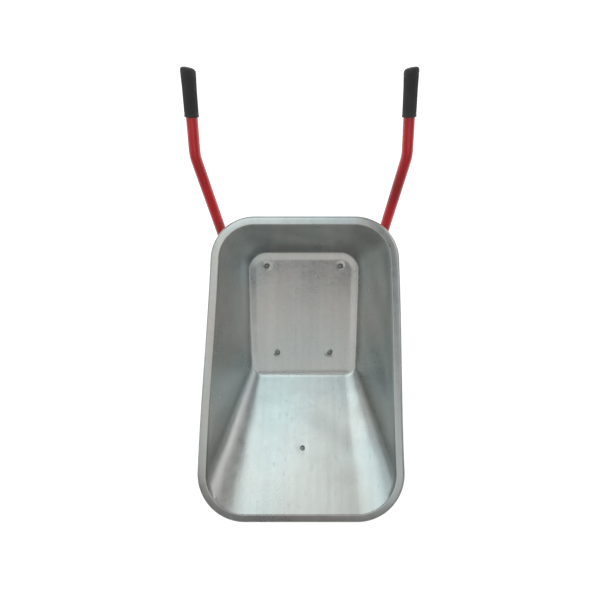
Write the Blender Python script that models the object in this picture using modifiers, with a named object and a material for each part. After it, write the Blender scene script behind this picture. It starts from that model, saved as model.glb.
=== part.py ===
"""Wheelbarrow: a pressed sheet tray on a tubular steel frame with one pneumatic wheel.

The wheel is at -Y and the handles are at +Y. The ground is z = 0. Left is the left hand of
the person who pushes it, which is +X.
"""
import math

import bmesh
import bpy
import numpy as np
from mathutils import Matrix, Vector

for old in list(bpy.data.objects):
    bpy.data.objects.remove(old)

# ---------------------------------------------------------------- driving dimensions, metres
CLEAR = 0.0003              # gap kept between neighbours

# Tray
TRAY_REAR_Y = 0.274         # outer edge of the rim behind the tray
TRAY_LENGTH = 0.884
RIM_HALF_REAR = 0.272       # half width over the rim at the rear edge
RIM_HALF_NOSE = 0.3025      # half width over the rim at the nose
RIM_OVER_FLOOR_REAR = 0.220 # top of the rim above the floor
RIM_OVER_FLOOR_NOSE = 0.240
RIM_CORNER = 0.135          # corner radius of the rim, outside
BEAD_WIDTH = 0.025          # rolled rim, across
BEAD_HEIGHT = 0.009         # rolled rim, above the top of the wall
FLOOR_UNDER_TYRE = 0.080    # inside face of the floor, below the top of the tyre
FLOOR_REAR_GAP = 0.089      # from the rear rim forward to the floor
FLOOR_LENGTH = 0.401
FLOOR_HALF_REAR = 0.179
FLOOR_HALF_FRONT = 0.1655
FLOOR_CORNER_REAR = 0.060
FLOOR_CORNER_FRONT = 0.050
FLOOR_FILLET = 0.024        # floor to wall bend, measured along the floor
FLOOR_CROWN = 0.0005        # the middle of the floor stands this much proud of its edges
CROWN_EDGE = 0.003          # width of the step up to it
SEAT_MARGIN = 0.006         # from the bolt heads in to the raised middle
SHEET = 0.0012

# Frame
RAIL_R = 0.016
RAIL_WALL = 0.0015
RAIL_FRONT_HALF = 0.098     # rail centre line beside the wheel
RAIL_OVER_AXLE = 0.046
RAIL_PAST_AXLE = 0.049      # from the axle forward to the rail's front end
RAIL_SPREAD = 0.056         # from the axle back to where the rails start to spread
KNEE_Y = 0.0065             # where the rails turn up
KNEE_DROP = 0.018           # from the floor down to the top of the rail there
HANDLE_BEND_OUT = 0.0265    # handle places, from the rear corner of the rim and the floor
HANDLE_BEND_BACK = 0.161
HANDLE_BEND_UP = 0.275
HANDLE_END_OUT = 0.0165
HANDLE_END_BACK = 0.348
HANDLE_END_UP = 0.3815
RAIL_BENDS = (0.10, 0.10, 0.13)
LEG_R = 0.0125
LEG_WALL = 0.0015
LEG_FRONT_TOP_Y = -0.020    # where the front and rear leg tubes meet the rail
LEG_REAR_TOP_Y = 0.143
FOOT_FRONT_Y = 0.085
FOOT_REAR_Y = 0.172
LEG_BEND = 0.030
BRACE_R = 0.010
BRACE_Z = 0.105
CHANNEL_WIDTH = 0.030
CHANNEL_WALL = 0.0025
CHANNEL_OVERHANG = 0.018    # front cross member past the rail centre line
STAY_R = 0.010
STAY_WALL = 0.0015
STAY_CORNER = 0.055
GRIP_WALL = 0.0035
GRIP_SWELL = 0.001          # the grip is this much thicker at its end
GRIP_LENGTH = 0.122
GRIP_END_WALL = 0.009
PLUG_HEAD = 0.003
PLUG_DEPTH = 0.016

# Tray fasteners
REAR_BOLT_IN = (0.0525, 0.039)      # from the floor's rear edges, across and along
FRONT_BOLT_IN = (0.0765, 0.065)     # from the floor's front edges, across and along
NOSE_BOLT_BACK = 0.023              # from the axle
BOLT_R = 0.003
BOLT_HEAD_R = 0.0080
BOLT_HEAD_H = 0.0038
NUT_FLATS = 0.010
NUT_H = 0.005
WASHER_R = 0.0085
WASHER_H = 0.0016

# Wheel and axle
AXLE_FROM_NOSE = 0.154
TYRE_R = 0.180
AXLE_R = 0.006
BRACKET_WALL = 0.004
BRACKET_HALF = 0.036
BRACKET_NOSE_R = 0.019
AXLE_NUT_H = 0.010
AXLE_WASHER_H = 0.0025
AXLE_SPARE = 0.004          # thread that stands out of the nut
SPACER_WALL = 0.004
BEARING_X = 0.040
BEARING_HALF = 0.005
BEARING_R = 0.016
BALL_SHARE = 0.30           # ball radius as a share of the gap from axle to hub
BALL_COUNT = 8
HUB_WALL = 0.0032
HUB_PAST_BEARING = 0.002
HUB_SHOULDER = 0.0023
CAP_WALL = 0.0014
RIM_SHEET = 0.0016
RIM_SEAT_R = 0.1018
RIM_BOLT_IN = 0.0248         # from the bead seat in to the bolt circle
RIM_BOLT_COUNT = 4
RIM_DISC_IN = 0.009         # flat ring where the halves meet, in and out of the bolt circle
RIM_DISC_OUT = 0.008
FLANGE_X = 0.0325
# Rim section from the flange's lip to the well: radius past the bead seat, distance across.
RIM_LIP = [(0.0117, 0.0365), (0.0102, 0.0335), (0.0027, 0.0325), (0.0, 0.0300),
           (-0.0020, 0.0150), (-0.0078, 0.0095)]
# Tyre section: height as a share from bead to tread, distance across.
TYRE_OUTSIDE = [(0.990, 0.0130), (0.942, 0.0260), (0.846, 0.0365), (0.717, 0.0425),
                (0.537, 0.0450), (0.356, 0.0435), (0.202, 0.0385), (0.129, 0.0328),
                (0.045, 0.0320), (0.0, 0.0290), (0.0, 0.0225)]
TYRE_INSIDE = [(0.077, 0.0235), (0.254, 0.0350), (0.537, 0.0400), (0.704, 0.0370),
               (0.820, 0.0290), (0.897, 0.0130)]
TYRE_CROWN_INSIDE = 0.910
TUBE_SPAN = (0.048, 0.884)  # inner tube's nearest and farthest share of the tyre section
TUBE_HALF_X = 0.0330
TUBE_SIDES = 10
TUBE_WALL = 0.0015
VALVE_X = 0.015
VALVE_R = 0.004
VALVE_ANGLE = math.radians(35.0)
VALVE_SEAT = 0.027          # thick part of the stem
VALVE_TIP = 0.014           # thin part of the stem, under the cap
TIP_R = 0.0025

# ---------------------------------------------------------------- derived places
NOSE_Y = TRAY_REAR_Y - TRAY_LENGTH
FLOOR_REAR_Y = TRAY_REAR_Y - FLOOR_REAR_GAP
FLOOR_FRONT_Y = FLOOR_REAR_Y - FLOOR_LENGTH
AXLE_Z = TYRE_R
AXLE_Y = NOSE_Y + AXLE_FROM_NOSE
FLOOR_Z = 2.0 * TYRE_R - FLOOR_UNDER_TYRE
RIM_Z_REAR = FLOOR_Z + RIM_OVER_FLOOR_REAR
RIM_Z_NOSE = FLOOR_Z + RIM_OVER_FLOOR_NOSE
RAIL_FRONT_Z = AXLE_Z + RAIL_OVER_AXLE
RAIL_POINTS = [
    Vector((RAIL_FRONT_HALF, AXLE_Y - RAIL_PAST_AXLE, RAIL_FRONT_Z)),
    Vector((RAIL_FRONT_HALF, AXLE_Y + RAIL_SPREAD, RAIL_FRONT_Z)),
    Vector((FLOOR_HALF_REAR + RAIL_R + CLEAR, KNEE_Y, FLOOR_Z - KNEE_DROP - RAIL_R)),
    Vector((RIM_HALF_REAR + HANDLE_BEND_OUT, TRAY_REAR_Y + HANDLE_BEND_BACK,
            FLOOR_Z + HANDLE_BEND_UP)),
    Vector((RIM_HALF_REAR + HANDLE_END_OUT, TRAY_REAR_Y + HANDLE_END_BACK,
            FLOOR_Z + HANDLE_END_UP))]
FLOOR_BOLT_REAR = (FLOOR_HALF_REAR - REAR_BOLT_IN[0], FLOOR_REAR_Y - REAR_BOLT_IN[1])
FLOOR_BOLT_FRONT = (FLOOR_HALF_FRONT - FRONT_BOLT_IN[0], FLOOR_FRONT_Y + FRONT_BOLT_IN[1])
NOSE_BOLT_Y = AXLE_Y + NOSE_BOLT_BACK
GRIP_R = RAIL_R + GRIP_WALL
GRIP_END_R = GRIP_R + GRIP_SWELL
AXLE_NUT_FLATS = 2.0 * AXLE_R + 0.007
AXLE_WASHER_R = AXLE_R + 0.0065
SPACER_R = AXLE_R + SPACER_WALL
BALL_R = (BEARING_R - AXLE_R) * BALL_SHARE
HUB_HALF = BEARING_X + BEARING_HALF + HUB_PAST_BEARING
RIM_BOLT_CIRCLE = RIM_SEAT_R - RIM_BOLT_IN
BEAD_R = RIM_SEAT_R + 0.0005
CHANNEL_TOP = FLOOR_Z - SHEET - CLEAR
HUB_R = BEARING_R + CLEAR + HUB_WALL

# ---------------------------------------------------------------- collections and materials
parts = bpy.data.collections.new("wheelbarrow")
cutters = bpy.data.collections.new("cutters")
bpy.context.scene.collection.children.link(parts)
bpy.context.scene.collection.children.link(cutters)


def material(name, colour, roughness, metallic):
    made = bpy.data.materials.new(name)
    made.use_nodes = True
    shader = made.node_tree.nodes["Principled BSDF"]
    shader.inputs["Base Color"].default_value = (*colour, 1.0)
    shader.inputs["Roughness"].default_value = roughness
    shader.inputs["Metallic"].default_value = metallic
    return made


GALVANISED = material("galvanised", (0.50, 0.52, 0.51), 0.35, 0.9)
RED_PAINT = material("red_paint", (0.42, 0.02, 0.03), 0.30, 0.0)
BLACK_PLASTIC = material("black_plastic", (0.03, 0.03, 0.03), 0.60, 0.0)
ZINC = material("zinc", (0.60, 0.60, 0.58), 0.35, 1.0)
STEEL = material("steel", (0.55, 0.55, 0.55), 0.25, 1.0)
RUBBER = material("rubber", (0.02, 0.02, 0.02), 0.85, 0.0)


# ---------------------------------------------------------------- making objects
def add(name, data, mat, place=None, group=parts):
    made = bpy.data.objects.new(name, data)
    group.objects.link(made)
    data.materials.append(mat)
    if place is not None:
        made.matrix_world = place
    return made


def as_cutter(obj):
    obj.hide_render = True
    obj.display_type = "WIRE"
    return obj


def boolean(obj, other, operation="DIFFERENCE"):
    mod = obj.modifiers.new(operation.lower(), "BOOLEAN")
    mod.object = other
    mod.operation = operation
    mod.solver = "EXACT"


def mesh_of(obj, mat, name, group=parts):
    """A mesh object with the shape of a curve object, whose caps are welded."""
    graph = bpy.context.evaluated_depsgraph_get()
    graph.update()
    data = bpy.data.meshes.new_from_object(obj.evaluated_get(graph))
    work = bmesh.new()
    work.from_mesh(data)
    bmesh.ops.remove_doubles(work, verts=work.verts, dist=0.00002)
    work.to_mesh(data)
    work.free()
    data.materials.clear()
    place = obj.matrix_world.copy()
    bpy.data.objects.remove(obj)
    made = add(name, data, mat, place, group)
    data.shade_smooth()
    data.set_sharp_from_angle(angle=math.radians(40.0))
    return made


def turned(name, profile, mat, steps, place, closed=True, group=parts):
    """A profile of (radius, height) pairs turned round the local Z axis."""
    data = bpy.data.meshes.new(name)
    points = [(radius, 0.0, height) for radius, height in profile]
    edges = [(i, i + 1) for i in range(len(points) - 1)]
    if closed:
        edges.append((len(points) - 1, 0))
    data.from_pydata(points, edges, [])
    made = add(name, data, mat, place, group)
    screw = made.modifiers.new("turn", "SCREW")
    screw.steps = steps
    screw.render_steps = steps
    screw.use_merge_vertices = True
    screw.merge_threshold = 0.00001
    screw.use_smooth_shade = True
    return made


def flat(name, loops, half, mat, place, group=parts):
    """A flat outline with its holes, as a 2D curve extruded by half its thickness each way."""
    data = bpy.data.curves.new(name, "CURVE")
    data.dimensions = "2D"
    data.fill_mode = "BOTH"
    data.extrude = half
    for loop in loops:
        spline = data.splines.new("POLY")
        spline.points.add(len(loop) - 1)
        for point, (x, y) in zip(spline.points, loop):
            point.co = (x, y, 0.0, 1.0)
        spline.use_cyclic_u = True
    made = add(name, data, mat, place, group)
    return mesh_of(made, mat, name, group)


def ring(radius, count, start=0.0):
    turn = [start + 2.0 * math.pi * i / count for i in range(count)]
    return [(radius * math.cos(a), radius * math.sin(a)) for a in turn]


def rod(name, radius, low, high, place, sides=16):
    """A cutter along the local Z axis from low to high."""
    data = bpy.data.meshes.new(name)
    work = bmesh.new()
    bmesh.ops.create_cone(work, cap_ends=True, segments=sides, radius1=radius,
                          radius2=radius, depth=high - low)
    bmesh.ops.translate(work, verts=work.verts, vec=(0.0, 0.0, (low + high) / 2.0))
    work.to_mesh(data)
    work.free()
    return as_cutter(add(name, data, STEEL, place, cutters))


def rounded_path(points, radii, steps=4):
    """Straight runs through the points, with an arc of the given radius at each inner one."""
    path = [Vector(points[0])]
    for before, corner, after, radius in zip(points, points[1:], points[2:], radii):
        into = (Vector(corner) - Vector(before)).normalized()
        out = (Vector(after) - Vector(corner)).normalized()
        turn = into.angle(out)
        reach = radius * math.tan(turn / 2.0)
        centre_way = (out - into).normalized()
        centre = Vector(corner) + centre_way * (radius / math.cos(turn / 2.0))
        start = Vector(corner) - into * reach - centre
        axis = into.cross(out).normalized()
        for i in range(steps + 1):
            path.append(centre + Matrix.Rotation(turn * i / steps, 3, axis) @ start)
    path.append(Vector(points[-1]))
    return path


def tube(name, path, radius, wall, mat, sides=12, group=parts):
    """A round bar along a path, or a tube with open ends where it has a wall."""
    data = bpy.data.curves.new(name, "CURVE")
    data.dimensions = "3D"
    data.bevel_depth = radius
    data.bevel_resolution = (sides - 4) // 2
    data.use_fill_caps = wall == 0.0
    spline = data.splines.new("POLY")
    spline.points.add(len(path) - 1)
    for point, co in zip(spline.points, path):
        point.co = (*co, 1.0)
    made = add(name, data, mat, None, group)
    if wall:
        shell = made.modifiers.new("wall", "SOLIDIFY")
        shell.thickness = wall
        shell.offset = -1.0
    return mesh_of(made, mat, name, group)


def along(direction, origin):
    """A placement whose local Z axis points along the direction."""
    turn = Vector(direction).to_track_quat("Z", "Y").to_matrix().to_4x4()
    return Matrix.Translation(Vector(origin)) @ turn


def on_side(side, point):
    return Vector((side * point[0], point[1], point[2]))


SIDES = (("left", 1.0), ("right", -1.0))


# ---------------------------------------------------------------- tray
def rim_z(y):
    share = (TRAY_REAR_Y - y) / TRAY_LENGTH
    return RIM_Z_REAR + (RIM_Z_NOSE - RIM_Z_REAR) * share


CORNER_STEPS = 6
SIDE_STEPS = (2, 4, 2, 4)


def rounded_outline(rear, front, half_rear, half_front, r_rear, r_front):
    """Plan of a four-sided panel with round corners, anticlockwise, in equal counts of points."""
    corners = [(half_rear, rear, r_rear), (-half_rear, rear, r_rear),
               (-half_front, front, r_front), (half_front, front, r_front)]
    points = []
    for i, (x, y, radius) in enumerate(corners):
        here = np.array((x, y))
        before = np.array(corners[i - 1][:2]) - here
        after = np.array(corners[(i + 1) % 4][:2]) - here
        before /= np.linalg.norm(before)
        after /= np.linalg.norm(after)
        half_turn = math.acos(float(before @ after)) / 2.0
        middle = (before + after) / np.linalg.norm(before + after)
        centre = here + middle * radius / math.sin(half_turn)
        start = here + before * radius / math.tan(half_turn) - centre
        sweep = math.pi - 2.0 * half_turn
        for k in range(CORNER_STEPS + 1):
            a = sweep * k / CORNER_STEPS
            points.append(centre + (start[0] * math.cos(a) - start[1] * math.sin(a),
                                    start[0] * math.sin(a) + start[1] * math.cos(a)))
    spread = []
    per_corner = CORNER_STEPS + 1
    for i in range(4):
        run = points[i * per_corner:(i + 1) * per_corner]
        spread += run
        goal = points[((i + 1) * per_corner) % len(points)]
        for k in range(1, SIDE_STEPS[i]):
            spread.append(run[-1] + (goal - run[-1]) * k / SIDE_STEPS[i])
    return np.array(spread)


def raised(outline, heights):
    return np.column_stack((outline, heights))


def outward(outline):
    """Unit vectors square to a closed plan outline, pointing out of it."""
    way = np.roll(outline, -1, axis=0) - np.roll(outline, 1, axis=0)
    way /= np.linalg.norm(way, axis=1)[:, None]
    return np.column_stack((way[:, 1], -way[:, 0]))


def floor_faces(work, edge):
    """The floor: a middle raised a little between the bolt heads, its step, and the rest."""
    half = min(FLOOR_BOLT_REAR[0], FLOOR_BOLT_FRONT[0]) - BOLT_HEAD_R - SEAT_MARGIN
    rear = FLOOR_BOLT_REAR[1] - BOLT_HEAD_R - SEAT_MARGIN
    front = FLOOR_BOLT_FRONT[1] + BOLT_HEAD_R + SEAT_MARGIN
    seat, step = [], []
    for x, y, out_y in ((half, rear, 1.0), (-half, rear, 1.0), (-half, front, -1.0),
                        (half, front, -1.0)):
        out_x = math.copysign(CROWN_EDGE, x)
        seat.append(work.verts.new((x, y, FLOOR_Z + FLOOR_CROWN)))
        step.append(work.verts.new((x + out_x, y + out_y * CROWN_EDGE, FLOOR_Z)))
    work.faces.new(seat)
    middle = CORNER_STEPS // 2
    starts = [middle + sum(CORNER_STEPS + steps for steps in SIDE_STEPS[:i]) for i in range(4)]
    for i in range(4):
        after = (i + 1) % 4
        stop = starts[i + 1] if i < 3 else len(edge) + starts[0]
        run = [edge[k % len(edge)] for k in range(starts[i], stop + 1)]
        work.faces.new([seat[i], step[i], step[after], seat[after]])
        work.faces.new([step[i]] + run + [step[after]])


def make_tray():
    edge = rounded_outline(FLOOR_REAR_Y, FLOOR_FRONT_Y, FLOOR_HALF_REAR, FLOOR_HALF_FRONT,
                           FLOOR_CORNER_REAR, FLOOR_CORNER_FRONT)
    inset = rounded_outline(FLOOR_REAR_Y - FLOOR_FILLET, FLOOR_FRONT_Y + FLOOR_FILLET,
                            FLOOR_HALF_REAR - FLOOR_FILLET, FLOOR_HALF_FRONT - FLOOR_FILLET,
                            FLOOR_CORNER_REAR - FLOOR_FILLET, FLOOR_CORNER_FRONT - FLOOR_FILLET)
    top = rounded_outline(TRAY_REAR_Y - BEAD_WIDTH, NOSE_Y + BEAD_WIDTH,
                          RIM_HALF_REAR - BEAD_WIDTH, RIM_HALF_NOSE - BEAD_WIDTH,
                          RIM_CORNER - BEAD_WIDTH, RIM_CORNER - BEAD_WIDTH)
    floor_edge = raised(edge, np.full(len(edge), FLOOR_Z))
    floor_flat = raised(inset, np.full(len(inset), FLOOR_Z))
    wall_top = raised(top, rim_z(top[:, 1]) - BEAD_HEIGHT)
    way = wall_top - floor_edge
    wall_low = floor_edge + way * (FLOOR_FILLET / np.linalg.norm(way, axis=1))[:, None]
    rings = [floor_flat]
    for t in (0.25, 0.5, 0.75, 1.0):
        rings.append(floor_flat * (1 - t) ** 2 + floor_edge * 2 * t * (1 - t) + wall_low * t * t)
    for t in (0.5, 1.0):
        rings.append(wall_low + (wall_top - wall_low) * t)
    out = outward(top)
    half = BEAD_WIDTH / 2.0
    arch = [(half - half * math.cos(math.radians(a)), BEAD_HEIGHT * math.sin(math.radians(a)))
            for a in (36, 72, 108, 144, 180)]
    curl = [(BEAD_WIDTH - 0.0008, -0.0045), (BEAD_WIDTH - 0.0050, -0.0080),
            (BEAD_WIDTH - 0.0100, -0.0085)]
    for reach, rise in arch + curl:
        plan = top + out * reach
        rings.append(raised(plan, wall_top[:, 2] + rise))

    data = bpy.data.meshes.new("tray")
    work = bmesh.new()
    rows = [[work.verts.new(point) for point in ring_points] for ring_points in rings]
    floor_faces(work, rows[0])
    count = len(rows[0])
    for low, high in zip(rows, rows[1:]):
        for i in range(count):
            j = (i + 1) % count
            work.faces.new((low[j], low[i], high[i], high[j]))
    work.to_mesh(data)
    work.free()
    data.shade_smooth()
    data.set_sharp_from_angle(angle=math.radians(40.0))
    made = add("tray", data, GALVANISED)
    shell = made.modifiers.new("sheet", "SOLIDIFY")
    shell.thickness = SHEET
    shell.offset = -1.0
    return made


def nose_face():
    """The nose bolt's point on the inside of the front slope, and the slope's inward normal."""
    low = Vector((0.0, FLOOR_FRONT_Y, FLOOR_Z))
    high = Vector((0.0, NOSE_Y + BEAD_WIDTH, rim_z(NOSE_Y + BEAD_WIDTH) - BEAD_HEIGHT))
    share = (NOSE_BOLT_Y - low.y) / (high.y - low.y)
    way = (high - low).normalized()
    return low + (high - low) * share, Vector((0.0, way.z, -way.y))


tray = make_tray()
NOSE_POINT, NOSE_NORMAL = nose_face()


# ---------------------------------------------------------------- rails, grips and plugs
def rail_at(y):
    """The rail's centre line at a place along the barrow, on the left side."""
    for low, high in zip(RAIL_POINTS, RAIL_POINTS[1:]):
        if y <= high.y:
            return low + (high - low) * ((y - low.y) / (high.y - low.y))
    return RAIL_POINTS[-1].copy()


def rail_path(side):
    return rounded_path([on_side(side, p) for p in RAIL_POINTS], RAIL_BENDS)


rails = {}
rail_cutters = {}
for word, side in SIDES:
    rails[word] = tube(f"rail_{word}", rail_path(side), RAIL_R, RAIL_WALL, RED_PAINT)
    rail_cutters[word] = as_cutter(tube(f"rail_space_{word}", rail_path(side), RAIL_R + CLEAR,
                                        0.0, STEEL, group=cutters))

HANDLE_WAY = (RAIL_POINTS[-1] - RAIL_POINTS[-2]).normalized()
GRIP_DOME = ((0.62, 0.94), (0.90, 0.62))    # end of the grip: shares of radius and of height
GRIP_TAPER = 0.75                           # share of the length over which the swell fades


def make_grip(word, side):
    """A sleeve that is closed and domed at its far end."""
    way = on_side(side, HANDLE_WAY)
    bore = RAIL_R + CLEAR
    floor = 2.0 * CLEAR
    length = GRIP_LENGTH - GRIP_END_WALL
    profile = [(0.0, GRIP_END_WALL)]
    profile += [(GRIP_END_R * across, GRIP_END_WALL * up) for across, up in GRIP_DOME]
    profile += [(GRIP_END_R, 0.0), (GRIP_R, -length * GRIP_TAPER), (GRIP_R, GRIP_SWELL - length),
                (GRIP_R - GRIP_SWELL, -length), (bore, -length), (bore, floor), (0.0, floor)]
    return turned(f"grip_{word}", profile, BLACK_PLASTIC, 20,
                  along(way, on_side(side, RAIL_POINTS[-1])), closed=False)


def make_plug(word, side):
    """A cap on the rail's open front end, with a spigot inside it."""
    inside = RAIL_R - RAIL_WALL - CLEAR
    profile = [(0.0, PLUG_HEAD + CLEAR), (RAIL_R - 0.001, PLUG_HEAD + CLEAR),
               (RAIL_R, PLUG_HEAD - 0.001), (RAIL_R, CLEAR), (inside, CLEAR),
               (inside, -PLUG_DEPTH), (0.0, -PLUG_DEPTH)]
    front = on_side(side, RAIL_POINTS[0])
    return turned(f"rail_plug_{word}", profile, BLACK_PLASTIC, 12,
                  along((0.0, -1.0, 0.0), front), closed=False)


for word, side in SIDES:
    make_grip(word, side)
    make_plug(word, side)


# ---------------------------------------------------------------- legs, brace and stay
def leg_points(side):
    top_front = rail_at(LEG_FRONT_TOP_Y)
    top_rear = rail_at(LEG_REAR_TOP_Y)
    foot_front = Vector((rail_at(FOOT_FRONT_Y).x, FOOT_FRONT_Y, LEG_R))
    foot_rear = Vector((rail_at(FOOT_REAR_Y).x, FOOT_REAR_Y, LEG_R))
    return [on_side(side, p) for p in (top_front, foot_front, foot_rear, top_rear)]


def leg_at(z):
    """The rear leg tube's centre line at a height, on the left side."""
    low, high = leg_points(1.0)[2:]
    return low + (high - low) * ((z - low.z) / (high.z - low.z))


leg_cutters = {}
for word, side in SIDES:
    path = rounded_path(leg_points(side), (LEG_BEND, LEG_BEND))
    leg = tube(f"leg_{word}", path, LEG_R, LEG_WALL, RED_PAINT)
    boolean(leg, rail_cutters[word])
    leg_cutters[word] = as_cutter(tube(f"leg_space_{word}", path, LEG_R + CLEAR, 0.0, STEEL,
                                       group=cutters))

brace_end = leg_at(BRACE_Z)
brace = tube("leg_brace", [on_side(1.0, brace_end), on_side(-1.0, brace_end)], BRACE_R,
             LEG_WALL, RED_PAINT)
for word, side in SIDES:
    boolean(brace, leg_cutters[word])

stay_top = NOSE_POINT - NOSE_NORMAL * (SHEET + CLEAR + STAY_R)
stay_points = [on_side(side, Vector((RAIL_FRONT_HALF, stay_top.y, height)))
               for side, height in ((1.0, RAIL_FRONT_Z), (1.0, stay_top.z),
                                    (-1.0, stay_top.z), (-1.0, RAIL_FRONT_Z))]
nose_stay = tube("nose_stay", rounded_path(stay_points, (STAY_CORNER, STAY_CORNER), 5), STAY_R,
                 STAY_WALL, RED_PAINT)
for word, side in SIDES:
    boolean(nose_stay, rail_cutters[word])


# ---------------------------------------------------------------- cross members
def channel(name, y, half_length, height):
    """A channel that is open below, across the barrow at y, with its top under the floor."""
    half = CHANNEL_WIDTH / 2.0
    wall = CHANNEL_WALL
    section = [(0.0, -half), (0.0, half), (height, half), (height, half - wall),
               (wall, half - wall), (wall, wall - half), (height, wall - half), (height, -half)]
    place = Matrix.Translation((0.0, y, CHANNEL_TOP)) @ Matrix.Rotation(math.pi / 2.0, 4, "Y")
    return flat(name, [section], half_length, RED_PAINT, place)


front_y = FLOOR_BOLT_FRONT[1]
front_rail = rail_at(front_y + CHANNEL_WIDTH / 2.0)
front_height = CHANNEL_TOP - (front_rail.z + RAIL_R + CLEAR)
front_member = channel("front_cross_member", front_y, front_rail.x + CHANNEL_OVERHANG,
                       front_height)
rear_y = FLOOR_BOLT_REAR[1]
rear_member = channel("rear_cross_member", rear_y, leg_at(CHANNEL_TOP).x, front_height)
for word, side in SIDES:
    boolean(rear_member, leg_cutters[word])


# ---------------------------------------------------------------- tray fasteners
def fastener_set(tag, point, normal, grip, held):
    """A round-headed bolt through the tray, with its washer and nut under what it holds."""
    down = -normal
    top = point + normal * CLEAR
    reach = grip + CLEAR + WASHER_H + CLEAR + NUT_H + BOLT_R
    head = [(0.0, BOLT_HEAD_H)]
    for a in (70, 45, 20):
        head.append((BOLT_HEAD_R * math.cos(math.radians(a)),
                     BOLT_HEAD_H * math.sin(math.radians(a))))
    head += [(BOLT_HEAD_R, 0.0), (BOLT_R, 0.0), (BOLT_R, -reach), (0.0, -reach)]
    turned(f"tray_bolt_{tag}", head, ZINC, 16, along(normal, top), closed=False)
    washer_mid = point + down * (grip + CLEAR + WASHER_H / 2.0)
    flat(f"tray_washer_{tag}", [ring(WASHER_R, 16), ring(BOLT_R + CLEAR, 8)], WASHER_H / 2.0,
         ZINC, along(normal, washer_mid))
    nut_mid = washer_mid + down * (WASHER_H / 2.0 + CLEAR + NUT_H / 2.0)
    flat(f"tray_nut_{tag}", [ring(NUT_FLATS / math.sqrt(3.0), 6), ring(BOLT_R + CLEAR, 8)],
         NUT_H / 2.0, ZINC, along(normal, nut_mid))
    hole = rod(f"hole_{tag}", BOLT_R + CLEAR, -reach - 0.01, 0.01, along(normal, top))
    boolean(tray, hole)
    boolean(held, hole)


FLOOR_GRIP = SHEET + CLEAR + CHANNEL_WALL
UP = Vector((0.0, 0.0, 1.0))
for word, side in SIDES:
    rear_point = Vector((side * FLOOR_BOLT_REAR[0], FLOOR_BOLT_REAR[1], FLOOR_Z))
    front_point = Vector((side * FLOOR_BOLT_FRONT[0], FLOOR_BOLT_FRONT[1], FLOOR_Z))
    fastener_set(f"rear_{word}", rear_point, UP, FLOOR_GRIP, rear_member)
    fastener_set(f"front_{word}", front_point, UP, FLOOR_GRIP, front_member)
fastener_set("nose", NOSE_POINT, NOSE_NORMAL, SHEET + CLEAR + 2.0 * STAY_R, nose_stay)


# ---------------------------------------------------------------- axle and its brackets
AXLE = Matrix.Translation((0.0, AXLE_Y, AXLE_Z)) @ Matrix.Rotation(math.pi / 2.0, 4, "Y")
wheel_axis = bpy.data.objects.new("wheel_axis", None)
parts.objects.link(wheel_axis)
wheel_axis.matrix_world = AXLE


def axial(x):
    """The axle's placement, moved along the axle by x."""
    return AXLE @ Matrix.Translation((0.0, 0.0, x))


def make_bracket(word, side):
    """A drop plate under the rail, round below the axle. Local X points down."""
    top = AXLE_Z - (RAIL_FRONT_Z - RAIL_R - CLEAR)
    outline = [(top, BRACKET_HALF), (top, -BRACKET_HALF)]
    for k in range(9):
        a = math.radians(-75.0 + 150.0 * k / 8.0)
        outline.append((BRACKET_NOSE_R * math.cos(a), BRACKET_NOSE_R * math.sin(a)))
    hole = ring(AXLE_R + CLEAR, 12)
    return flat(f"axle_bracket_{word}", [outline, hole], BRACKET_WALL / 2.0, RED_PAINT,
                axial(side * RAIL_FRONT_HALF))


for word, side in SIDES:
    make_bracket(word, side)

bracket_out = RAIL_FRONT_HALF + BRACKET_WALL / 2.0
bracket_in = RAIL_FRONT_HALF - BRACKET_WALL / 2.0
washer_out = bracket_out + CLEAR + AXLE_WASHER_H
for word, side in SIDES:
    middle = side * (bracket_out + CLEAR + AXLE_WASHER_H / 2.0)
    flat(f"axle_washer_{word}", [ring(AXLE_WASHER_R, 20), ring(AXLE_R + CLEAR, 12)],
         AXLE_WASHER_H / 2.0, ZINC, axial(middle))

nut_low = washer_out + CLEAR
nut_outline = ring(AXLE_NUT_FLATS / math.sqrt(3.0), 6)
flat("axle_nut", [nut_outline, ring(AXLE_R + CLEAR, 12)], AXLE_NUT_H / 2.0, ZINC,
     axial(nut_low + AXLE_NUT_H / 2.0))
axle = flat("axle_bolt", [nut_outline], AXLE_NUT_H * 0.4, ZINC,
            axial(-nut_low - AXLE_NUT_H * 0.4))
shank = rod("axle_shank", AXLE_R, -nut_low - AXLE_NUT_H * 0.4,
            nut_low + AXLE_NUT_H + AXLE_SPARE, axial(0.0), 16)
boolean(axle, shank, "UNION")

AXLE_BORE = AXLE_R + CLEAR
bearing_out = BEARING_X + BEARING_HALF
bearing_in = BEARING_X - BEARING_HALF


def sleeve(name, outer, inner, low, high, mat, steps=20):
    profile = [(outer, high), (outer, low), (inner, low), (inner, high)]
    return turned(name, profile, mat, steps, axial(0.0))


for word, side in SIDES:
    ends = sorted((side * (bearing_out + CLEAR), side * (bracket_in - CLEAR)))
    sleeve(f"axle_spacer_{word}", SPACER_R, AXLE_BORE, ends[0], ends[1], ZINC)
sleeve("bearing_spacer", SPACER_R - 0.001, AXLE_BORE, CLEAR - bearing_in, bearing_in - CLEAR,
       ZINC)


# ---------------------------------------------------------------- bearings
PITCH_R = (AXLE_BORE + BEARING_R) / 2.0
GROOVE_R = BALL_R + CLEAR
SHOULDER = 0.0017           # race shoulder from the pitch circle


def groove(sign, steps=4):
    """Points of a race groove, from its upper lip to its lower one."""
    lip = math.asin(SHOULDER / GROOVE_R)
    points = []
    for k in range(steps + 1):
        a = math.pi / 2.0 - lip - (math.pi - 2.0 * lip) * k / steps
        points.append((PITCH_R + sign * GROOVE_R * math.cos(a), GROOVE_R * math.sin(a)))
    return points


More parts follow.
